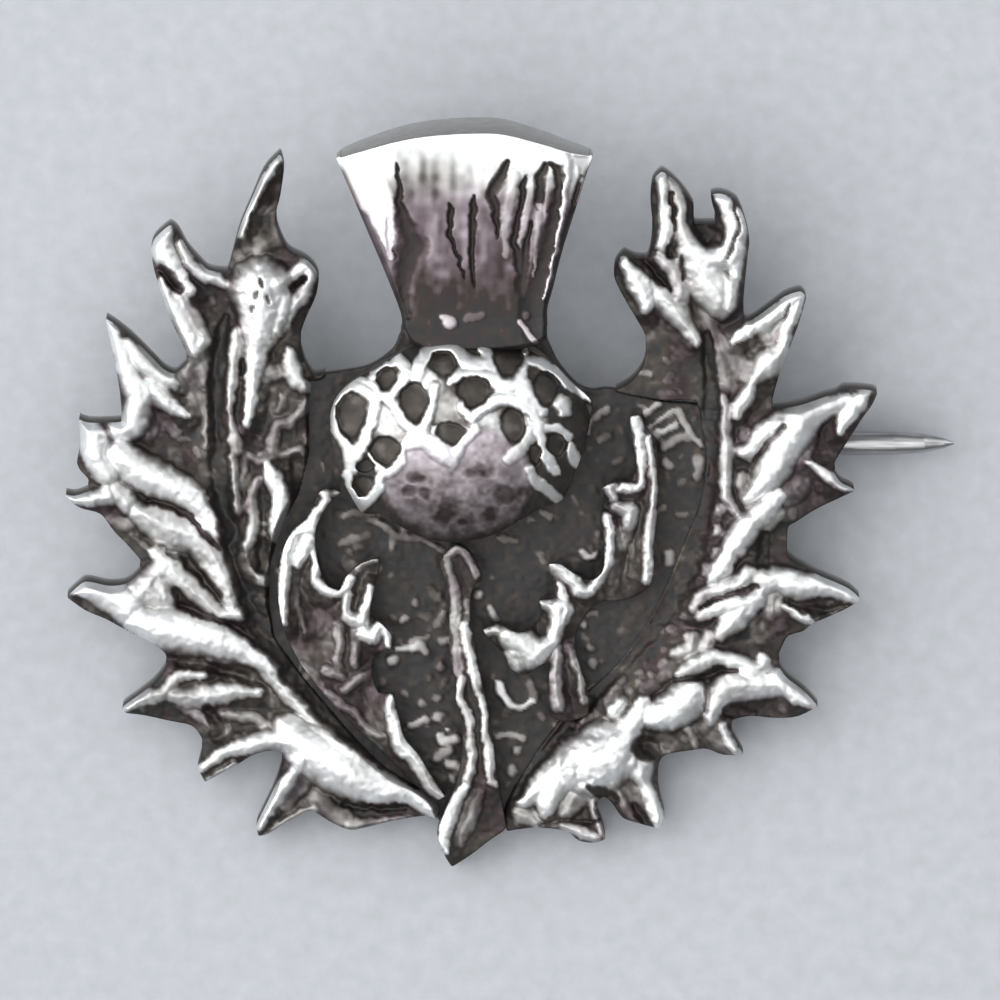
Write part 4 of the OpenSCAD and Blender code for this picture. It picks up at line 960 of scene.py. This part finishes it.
def head_surface(x, y, reach):
    """Dome w = base + rise sqrt(1 - q^2), q the elliptic radius, with the bands on it, less the pits. A pit
    is g = |u|^1.6 + |v|^n under 1, n = 2.4 over its middle and 1.15 under it, which points its lower end.
    The front's patina is darkened from its top to its foot by painted shade, and it has darker stains. Over
    it the scales between the bands each have a tone of their own, the bands are bright and the pits dark."""
    q = np.hypot((x - HEAD_CENTRE_PX[0]) / HEAD_HALF_PX[0], (y - HEAD_CENTRE_PX[1]) / HEAD_HALF_PX[1])
    w = HEAD_BASE_MM + (HEAD_TOP_MM - HEAD_BASE_MM) * np.sqrt(np.clip(1 - q * q, 0, 1))
    bent_x, bent_y = bent(x, y)
    pit = np.zeros(x.shape)
    for px, py, half_x, half_y in HEAD_PITS:
        u = np.abs(bent_x - px) / half_x
        v = (bent_y - py) / half_y
        g = u**PIT_SIDE_POWER + np.where(v < 0, np.abs(v)**PIT_UPPER_POWER, np.abs(v)**PIT_LOWER_POWER)
        pit = np.maximum(pit, np.clip((1 - g) / PIT_WALL, 0, 1))
    pit = pit * pit * (3 - 2 * pit)
    bands = wider(HEAD_BANDS, HEAD_SWELL)
    band = raised(x, y, bands, BAND_FALL) * (1 - pit)
    rise = raised(x, y, bands, BAND_RISE_FALL, by_width=True) * PX_MM
    blotch = uneven(x, y, HEAD_BLOTCH_PX, 61) - 0.5
    stain = np.zeros(x.shape)
    for px, py, half_x, half_y in HEAD_STAINS:
        share = np.hypot((bent_x - px) / half_x, (bent_y - py) / half_y) + blotch
        stain = np.maximum(stain, np.clip(STAIN_STEEP - STAIN_STEEP * share, 0, 1))
    front = np.hypot((bent_x - HEAD_FRONT_PX[0]) / HEAD_FRONT_HALF_PX[0],
                     (bent_y - HEAD_FRONT_PX[1]) / HEAD_FRONT_HALF_PX[1])
    bare = np.clip((front - FRONT_EDGE) / FRONT_EDGE_WIDTH, 0, 1)
    grain = uneven(x, y, HEAD_GRAIN_PX, 62) - 0.5
    w = w + BAND_RISE * rise * (1 - pit) - PIT_DEPTH_MM * pit
    w = w - SCALE_DEPTH_MM * bare * (1 - band) - STAIN_DEPTH_MM * stain + HEAD_SKIN_MM * grain

    # painted shade: the smooth front's patina is darkened from its top towards its foot
    smooth = np.interp(y, *np.transpose(HEAD_FRONT_PATINA_AND_SHADE))
    ground = smooth * (1 - bare) + BARE_PATINA * bare + STAIN_PATINA * stain * (1 - bare)
    for px, py, half_x, half_y, tone in HEAD_SCALES:
        away = np.hypot((bent_x - px) / half_x, (bent_y - py) / half_y)
        scale = np.clip(SCALE_STEEP - SCALE_STEEP * away, 0, 1)
        ground = ground * (1 - scale) + tone * scale
    ground = ground + HEAD_BLOTCH * blotch + HEAD_GRAIN * grain
    patina = ground * (1 - band) * (1 - pit) + (PIT_PATINA + PIT_BLOTCH * blotch) * pit
    mauve = HEAD_MAUVE * np.clip(1 - bare - BAND_HIDES * band - pit, 0, 1)
    return w, np.clip(patina, 0, 1), mauve


head = relief_piece("bulb", HEAD_OUTLINE, head_surface, cast_silver, back_mm=INNER_BACK_MM,
                    edge_mm=0.9, pitch_px=1.35)
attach(head, "brooch")
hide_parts("casting")

# Crown: the flared tuft over the head, a thick fluted slab that rises towards its top edge.
# It is cast with the rest, and its broad end face shows over its front edge because the brooch tilts.
CROWN_LOW_MM = 2.7
CROWN_HIGH_MM = 3.5
CROWN_NECK_PX = 318
CROWN_FRONT_PX = 136
CROWN_CORNERS_PX = (340, 590)
CROWN_PANEL_PX = (396, 562)
CROWN_FACET_FALL_MM = 0.3
CROWN_CORNER_EDGE_MM = 2.0
CROWN_MIDDLE_EDGE_MM = 4.9
CROWN_END_PATINA = 0.5
FLUTE_DEPTH_MM = 0.18
# columns: photo x, photo y
CROWN_OUTLINE = [
    (337, 160), (337, 154), (343, 149), (360, 141), (397, 128), (431, 121), (475, 118), (505, 120),
    (542, 131), (568, 141), (588, 148), (594, 155), (587, 173), (575, 211), (562, 252), (553, 288),
    (547, 311), (547, 338), (520, 350), (450, 354), (414, 346), (403, 330), (401, 313), (385, 272),
    (367, 230), (350, 190)]
# columns: photo y, patina from the front edge down to the neck
CROWN_TONES = [(137, .02), (160, .04), (175, .13), (190, .3), (202, .43), (250, .48), (268, .6), (285, .74),
               (300, .86), (318, .97)]
# columns: level, then for each place photo x, photo y, half width in pixels
CROWN_RIDGES_AND_HIGHLIGHT = [
    # the first row is a painted highlight on the left corner's facet, which faces the key light; the rest
    # are ridges
    (1, [(362, 168, 27), (372, 190, 23), (382, 213, 15), (388, 238, 8), (391, 258, 3)]),
    (.62, [(516, 178, 5), (510, 204, 6), (506, 230, 5), (505, 258, 3)]),
    (.6, [(533, 182, 3), (529, 204, 6), (525, 226, 5), (520, 248, 2.5)]),
    (.6, [(539, 208, 3.5), (539, 229, 3.5), (536, 253, 2), (534, 277, 1.2)]),
    (.42, [(549, 179, 3.5), (547, 204, 3.5), (545, 224, 1.5)]),
    (.1, [(438, 213, 9), (440, 240, 8), (443, 266, 5)]),
    (.12, [(461, 206, 5), (463, 230, 5.5), (468, 268, 4)]),
    (.12, [(483, 209, 6), (484, 240, 6), (487, 268, 5)]),
    (1, [(566, 156, 4), (567, 178, 3.5), (562, 211, 2.8), (557, 244, 2.2), (549, 278, 2), (544, 300, 1.5)]),
    (1, [(575, 156, 3), (586, 156, 3)]),
    (.5, [(577, 170, 3), (580, 182, 3)]),
    (.75, [(446, 318, 6), (450, 324, 8)]),
    (.4, [(468, 319, 6), (482, 316, 5)]),
    (.4, [(525, 315, 4), (526, 319, 3)]),
    (.8, [(521, 324, 3), (529, 335, 4), (536, 343, 2.5)]),
    (.6, [(404, 334, 3), (406, 344, 4)])]
# rows of photo x, photo y, half width in pixels
CROWN_FLUTES = [
    [(450, 204, 1), (452, 214, 4), (450, 232, 3.2), (455, 250, 2.5), (461, 266, 2), (464, 280, .8)],
    [(474, 198, 1), (473, 210, 4.2), (473, 239, 4), (472, 263, 3.8), (473, 279, 3), (475, 289, .8)],
    [(508, 163, 2), (504, 172, 5), (497, 185, 7), (491, 196, 6), (495, 207, 6), (497, 222, 4),
     (498, 240, 1)],
    [(526, 176, 1), (524, 185, 3.5), (521, 204, 3.8), (517, 220, 3.2), (514, 240, 4), (517, 257, 6),
     (520, 272, 4)],
    [(549, 167, 2), (558, 171, 5), (558, 192, 5.5), (552, 228, 9), (546, 257, 12), (538, 285, 16),
     (532, 312, 16), (534, 335, 12)],
    [(546, 168, 3), (540, 180, 6), (539, 198, 6), (538, 211, 3)],
    [(532, 224, 2), (527, 242, 5), (524, 264, 7), (522, 290, 9)],
    [(398, 165, 1), (399, 182, 2.5), (401, 206, 4.5), (407, 228, 10), (414, 246, 17), (408, 262, 16),
     (405, 280, 12), (404, 294, 9), (407, 315, 7)],
    [(388, 218, 1), (388, 228, 2.5), (391, 245, 4), (394, 258, 5)],
    [(581, 178, 2.5), (574, 200, 3.5), (566, 229, 3), (560, 257, 3), (553, 290, 3.5), (548, 315, 3)]]
CROWN_EDGE_POWER = 0.4


def crown_edge(x):
    """Height whose lean the end face shows: a half sine to the power 0.4, low at both corners. In the
    middle it is more than the slab's own height, because the end face also slants outwards."""
    span = np.clip((x - CROWN_CORNERS_PX[0]) / (CROWN_CORNERS_PX[1] - CROWN_CORNERS_PX[0]), 0, 1)
    swollen = np.sin(np.pi * span)**CROWN_EDGE_POWER
    return CROWN_CORNER_EDGE_MM + (CROWN_MIDDLE_EDGE_MM - CROWN_CORNER_EDGE_MM) * swollen


# the relief: how steeply flutes and ridges fall, and how much a ridge fills a flute that it crosses
FLUTE_FALL = 1.8
CROWN_RIDGE_FALL = 7
CROWN_RISE = 0.5
CROWN_RISE_FALL = 3
RIDGE_FILLS = 0.6
FACET_WIDTHS_PX = (50, 26)
# the sides: the height over the rim rises as reach^0.6, and is free from this share of the slope on
CROWN_SIDE_MM = 1.9
CROWN_SIDE_RISE = 2.4
CROWN_SIDE_POWER = 0.6
FREE_MM = 4
FREE_FROM = 0.55
FREE_RUN = 0.25
# the patina: noise stretched along the flutes, one grey patch, and the flutes and sides dark
STREAK_PX = 6
STREAK_STRETCH = 0.22
STREAK_PATINA = 0.34
CROWN_BLOTCH_PX = 8
CROWN_BLOTCH = 0.24
RIDGE_BLOTCH = 0.1
NOISE_STEEP = 4
NOISE_LEAST = 0.25
FLUTE_PATINA = 0.92
FLUTE_SPREAD = 1.3
FLUTE_SPREAD_PX = 0.4
FLUTE_TONE_FALL = 2.2
SIDE_PATINA = 0.62
SIDE_STEEP = 1.4
SIDE_DARK_PX = 6
SIDE_TOP_PX = 162
SIDE_FADE_PX = 12
# columns: photo x, photo y, half width, half height, patina
CROWN_GREY = (424, 176, 32, 22, 0.4)
# columns: photo y, mauve
CROWN_MAUVE = [(180, 0), (205, 1), (265, 1), (330, 0.8)]
CROWN_MAUVE_LEAST = 0.15
RIDGE_MAUVE = 0.5


def crown_surface(x, y, reach):
    """Slab w = low + (high - low) s, s going from 0 at the neck to 1 at the front edge, with a facet that
    falls away on each side of the panel, less the flutes. Its tone follows the table down the slab, with
    streaks, a grey patch e^(-u^2 - v^2), dark flutes and sides, and bright ridges. The first ridge is a
    painted highlight on the flat left corner, the facet that faces the key light, and adds no height."""
    s = np.clip((CROWN_NECK_PX - y) / (CROWN_NECK_PX - CROWN_FRONT_PX), 0, 1)
    left_facet = np.clip((CROWN_PANEL_PX[0] - x) / FACET_WIDTHS_PX[0], 0, 1)
    right_facet = np.clip((x - CROWN_PANEL_PX[1]) / FACET_WIDTHS_PX[1], 0, 1)
    flutes = [(1, rows) for rows in CROWN_FLUTES]
    flute = raised(x, y, flutes, FLUTE_FALL)
    ridge = raised(x, y, CROWN_RIDGES_AND_HIGHLIGHT, CROWN_RIDGE_FALL)
    rise = raised(x, y, CROWN_RIDGES_AND_HIGHLIGHT[1:], CROWN_RISE_FALL, by_width=True) * PX_MM
    w = CROWN_LOW_MM + (CROWN_HIGH_MM - CROWN_LOW_MM) * s - CROWN_FACET_FALL_MM * (left_facet + right_facet)
    w = w - FLUTE_DEPTH_MM * flute * (1 - RIDGE_FILLS * ridge) + CROWN_RISE * rise
    free = FREE_MM * np.clip((s - FREE_FROM) / FREE_RUN, 0, 1)
    w = np.minimum(w, CROWN_SIDE_MM + CROWN_SIDE_RISE * (reach * PX_MM)**CROWN_SIDE_POWER + free)

    streak = uneven(x, y * STREAK_STRETCH, STREAK_PX, 71) - 0.5
    blotch = uneven(x, y, CROWN_BLOTCH_PX, 72) - 0.5
    tone = np.interp(y, *np.transpose(CROWN_TONES))
    grey_x, grey_y, grey_half_x, grey_half_y, grey = CROWN_GREY
    tone = tone + grey * np.exp(-((x - grey_x) / grey_half_x)**2 - ((y - grey_y) / grey_half_y)**2)
    noise = STREAK_PATINA * streak + CROWN_BLOTCH * blotch
    tone = tone + noise * np.clip(tone * NOISE_STEEP, NOISE_LEAST, 1)
    dark_flutes = wider(flutes, FLUTE_SPREAD, FLUTE_SPREAD_PX)
    patina = np.maximum(tone, FLUTE_PATINA * raised(x, y, dark_flutes, FLUTE_TONE_FALL))
    patina = np.minimum(patina, 1 - ridge + RIDGE_BLOTCH * blotch)
    side = np.clip(SIDE_STEEP - SIDE_STEEP * reach / SIDE_DARK_PX, 0, 1)
    side = side * np.clip((y - SIDE_TOP_PX) / SIDE_FADE_PX, 0, 1)
    mauve = np.interp(y, *np.transpose(CROWN_MAUVE)) * (1 - RIDGE_MAUVE * ridge)
    mauve = mauve * np.clip(MAUVE_FADE * (1 - patina), CROWN_MAUVE_LEAST, 1)
    return w, np.clip(np.maximum(patina, SIDE_PATINA * side), 0, 1), np.clip(mauve, 0, 1)


crown = relief_piece("crown", CROWN_OUTLINE, crown_surface, cast_silver, edge_mm=crown_edge,
                     pitch_px=1.3, wall_patina=CROWN_END_PATINA)
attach(crown, "brooch")
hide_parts("casting")

# Hinge ears and catch: small silver fittings soldered into the flat back, which carry the pin.
# The ears are two rounded lugs on both sides of the pin's eye, and the catch is a hook open downwards.
# sizes in mm on the brooch: x across, v up the back, w off it
HINGE_X = -9.0
KEEPER_X = 13.4
KEEPER_LENGTH = 1.6
PIN_V = 1.7
PIN_W = -1.35
WIRE_R = 0.5
EAR_GAP = 0.06
EAR_T = 0.6
EAR_R = 0.95
SOLDER_W = 0.3
SLOT_R = 0.62
KEEPER_R = 1.1
ARC_STEPS = 24
WORN_EDGE_MM = 0.05
WORN_EDGE_STEPS = 2


def brooch_to_row(x, v, w):
    """Place in metres of a point given on the brooch: across x, up the back v and off it w, all in mm.
    y = v cos(tilt) - w sin(tilt), z = v sin(tilt) + w cos(tilt) + lift."""
    return np.stack([x + ROW_SHIFT, v * TILT_COS - w * TILT_SIN,
                     v * TILT_SIN + w * TILT_COS + REST_LIFT], axis=-1) * MM


def prism(name, near_ring, far_ring, material):
    """A solid between two rings of the same count: a side from place i to i + 1 of both, and a face on
    each end. The rings run anticlockwise as seen from the far end, so the faces point outwards."""
    count = len(near_ring)
    i = np.arange(count)
    j = (i + 1) % count
    sides = np.stack([i, j, j + count, i + count], axis=1).tolist()
    mesh = bpy.data.meshes.new(name)
    mesh.from_pydata(np.vstack([near_ring, far_ring]).tolist(), [],
                     sides + [i[::-1].tolist(), (i + count).tolist()])
    mesh.attributes.new("patina", "FLOAT", "POINT").data.foreach_set(
        "value", np.full(2 * count, BACK_PATINA, np.float32))
    mesh.materials.append(material)
    piece = bpy.data.objects.new(name, mesh)
    bpy.context.scene.collection.objects.link(piece)
    edge = piece.modifiers.new("worn_edge", "BEVEL")
    edge.width = WORN_EDGE_MM * MM
    edge.segments = WORN_EDGE_STEPS
    edge.limit_method = "ANGLE"
    return piece


ear_turn = np.linspace(np.pi, 2 * np.pi, ARC_STEPS)
ear_x = np.concatenate([HINGE_X + EAR_R * np.cos(ear_turn), [HINGE_X + EAR_R, HINGE_X - EAR_R]])
ear_w = np.concatenate([PIN_W + EAR_R * np.sin(ear_turn), [SOLDER_W, SOLDER_W]])
for ear_name, side in (("hinge_ear_low", -1), ("hinge_ear_high", 1)):
    middle_v = PIN_V + side * (WIRE_R + EAR_GAP + EAR_T / 2)
    ear = prism(ear_name,
                brooch_to_row(ear_x, np.full_like(ear_x, middle_v + EAR_T / 2), ear_w),
                brooch_to_row(ear_x, np.full_like(ear_x, middle_v - EAR_T / 2), ear_w), cast_silver)
    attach(ear, "brooch")
    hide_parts("casting")

slot_turn = np.linspace(0, np.pi, ARC_STEPS)
keeper_v = np.concatenate([PIN_V + SLOT_R * np.cos(slot_turn), [PIN_V - KEEPER_R, PIN_V - KEEPER_R],
                           [PIN_V + KEEPER_R, PIN_V + KEEPER_R]])
keeper_w = np.concatenate([PIN_W + SLOT_R * np.sin(slot_turn), [PIN_W, SOLDER_W], [SOLDER_W, PIN_W]])
keeper = prism("keeper",
               brooch_to_row(np.full_like(keeper_v, KEEPER_X + KEEPER_LENGTH / 2), keeper_v, keeper_w),
               brooch_to_row(np.full_like(keeper_v, KEEPER_X - KEEPER_LENGTH / 2), keeper_v, keeper_w),
               cast_silver)
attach(keeper, "brooch")
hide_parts("casting")

# Pin and rivet: hard drawn silver wire ground to a point, turning on a small rivet between the ears.
# Drawing leaves the wire smooth and bright, with faint lines along it, and handling greys it.
# the die's lines are a few hundredths of a millimetre apart, and are drawn coarser here so that they show
WIRE_LINE_MM = 0.12
WIRE_LINE_STRETCH = 0.08
WIRE_GREY = "#6d6a6a"
WIRE_ROUGHNESS_SPAN = 0.2


def drawn_wire(name, colour, roughness):
    """Hard drawn silver: bright and smooth, with faint grey lines along it that are a little duller."""
    material = bpy.data.materials.new(name)
    material.use_nodes = True
    tree = material.node_tree
    shader = tree.nodes["Principled BSDF"]
    shader.inputs["Metallic"].default_value = 1.0
    coords = add_node(tree, "ShaderNodeTexCoord")
    along = add_node(tree, "ShaderNodeMapping", {}, {"Scale": (WIRE_LINE_STRETCH, 1, 1)},
                     {"Vector": coords.outputs["Object"]})
    lines = add_node(tree, "ShaderNodeTexNoise", {}, {"Scale": 1 / (WIRE_LINE_MM * MM), "Detail": 2.0},
                     {"Vector": along.outputs["Vector"]})
    tint = add_node(tree, "ShaderNodeMixRGB", {}, {"Color1": linear(colour), "Color2": linear(WIRE_GREY)},
                    {"Fac": lines.outputs["Fac"]})
    rough = add_node(tree, "ShaderNodeMapRange", {},
                     {"To Min": roughness, "To Max": roughness + WIRE_ROUGHNESS_SPAN},
                     {"Value": lines.outputs["Fac"]})
    tree.links.new(tint.outputs["Color"], shader.inputs["Base Color"])
    tree.links.new(rough.outputs["Result"], shader.inputs["Roughness"])
    return material


wires = {"pin_stem": drawn_wire("drawn_silver_wire", "#d9dadb", 0.22),
         "hinge_rivet": drawn_wire("peened_silver_rivet", "#c9c8c8", 0.3)}
for node_name, material in wires.items():
    for material_slot in bpy.data.objects[node_name].material_slots:
        material_slot.material = material

# Table: a plain pale blue-grey sheet of matt card with a faint mottle.
# It isn't part of the brooch.
FLOOR_HALF_M = 1.5
CARD_ROUGHNESS = 0.85
CARD_MOTTLE_MM = 0.7
CARD_COLOURS = ("#a1a4a8", "#b7babf")
floor_corners = [(side_x * FLOOR_HALF_M, side_y * FLOOR_HALF_M, 0)
                 for side_x, side_y in ((-1, -1), (1, -1), (1, 1), (-1, 1))]
floor_mesh = bpy.data.meshes.new("floor")
floor_mesh.from_pydata(floor_corners, [], [(0, 1, 2, 3)])
floor = bpy.data.objects.new("floor", floor_mesh)
bpy.context.scene.collection.objects.link(floor)
card = bpy.data.materials.new("matt_card")
card.use_nodes = True
card_tree = card.node_tree
card_shader = card_tree.nodes["Principled BSDF"]
card_shader.inputs["Roughness"].default_value = CARD_ROUGHNESS
card_coords = add_node(card_tree, "ShaderNodeTexCoord")
card_mottle = add_node(card_tree, "ShaderNodeTexNoise", {},
                       {"Scale": 1 / (CARD_MOTTLE_MM * MM), "Detail": 3.0},
                       {"Vector": card_coords.outputs["Object"]})
card_tint = add_node(card_tree, "ShaderNodeMixRGB", {},
                     {"Color1": linear(CARD_COLOURS[0]), "Color2": linear(CARD_COLOURS[1])},
                     {"Fac": card_mottle.outputs["Fac"]})
card_tree.links.new(card_tint.outputs["Color"], card_shader.inputs["Base Color"])
floor_mesh.materials.append(card)

# Studio light: a wide soft sheet overhead that the flat silver mirrors, a soft key from the upper left,
# a weaker fill from the upper right, and a pale world that darkens towards the horizon.
# columns: name, place in metres, size in metres, watts
LIGHTS = [
    ("key", (-0.42, 0.2, 0.34), 0.7, 2.6),
    ("left_card", (-0.5, -0.08, 0.13), 0.3, 0.8),
    ("right_fill", (0.4, 0.32, 0.34), 0.6, 1.3),
    ("overhead", (-0.3, -0.24, 1.0), 1.8, 15.0)]
for light_name, place, size, watts in LIGHTS:
    lamp = bpy.data.lights.new(light_name, "AREA")
    lamp.size = size
    lamp.energy = watts
    light = bpy.data.objects.new(light_name, lamp)
    light.location = place
    towards = [-c for c in place]
    light.rotation_euler = (math.atan2(math.hypot(towards[0], towards[1]), -towards[2]), 0,
                            math.atan2(-towards[0], towards[1]))
    bpy.context.scene.collection.objects.link(light)

# the room round the lights: two heights of the view and how strong it is at each
ROOM_COLOUR = "#d2d6db"
ROOM_HEIGHTS = (0.05, 0.6)
ROOM_STRENGTHS = (0.15, 0.45)
world = bpy.data.worlds.new("pale_room")
world.use_nodes = True
world_tree = world.node_tree
upward = add_node(world_tree, "ShaderNodeSeparateXYZ", {}, {},
                  {"Vector": add_node(world_tree, "ShaderNodeTexCoord").outputs["Generated"]})
glow = add_node(world_tree, "ShaderNodeMapRange", {},
                {"From Min": ROOM_HEIGHTS[0], "From Max": ROOM_HEIGHTS[1],
                 "To Min": ROOM_STRENGTHS[0], "To Max": ROOM_STRENGTHS[1]},
                {"Value": upward.outputs["Z"]})
world_tree.nodes["Background"].inputs["Color"].default_value = linear(ROOM_COLOUR)
world_tree.links.new(glow.outputs["Result"], world_tree.nodes["Background"].inputs["Strength"])
bpy.context.scene.world = world
bpy.context.scene.view_settings.view_transform = "Standard"

# Camera: straight over the brooch through a long lens, with the photo's 40 mm field.
# The tilt that the photo shows is that of the brooch at rest, so the camera has none.
FIELD_MM = 40.0
LENS_MM = 800.0
SENSOR_MM = 36.0
FOCUS_Z_MM = 2.5
VIEW_CENTRE_MM = (-0.36, -0.4)
camera_data = bpy.data.cameras.new("camera")
camera_data.lens = LENS_MM
camera_data.sensor_width = SENSOR_MM
camera = bpy.data.objects.new("camera", camera_data)
camera.location = (VIEW_CENTRE_MM[0] * MM, VIEW_CENTRE_MM[1] * MM,
                   (FIELD_MM * LENS_MM / SENSOR_MM + FOCUS_Z_MM) * MM)
bpy.context.scene.collection.objects.link(camera)
bpy.context.scene.camera = camera

bpy.context.view_layer.update()
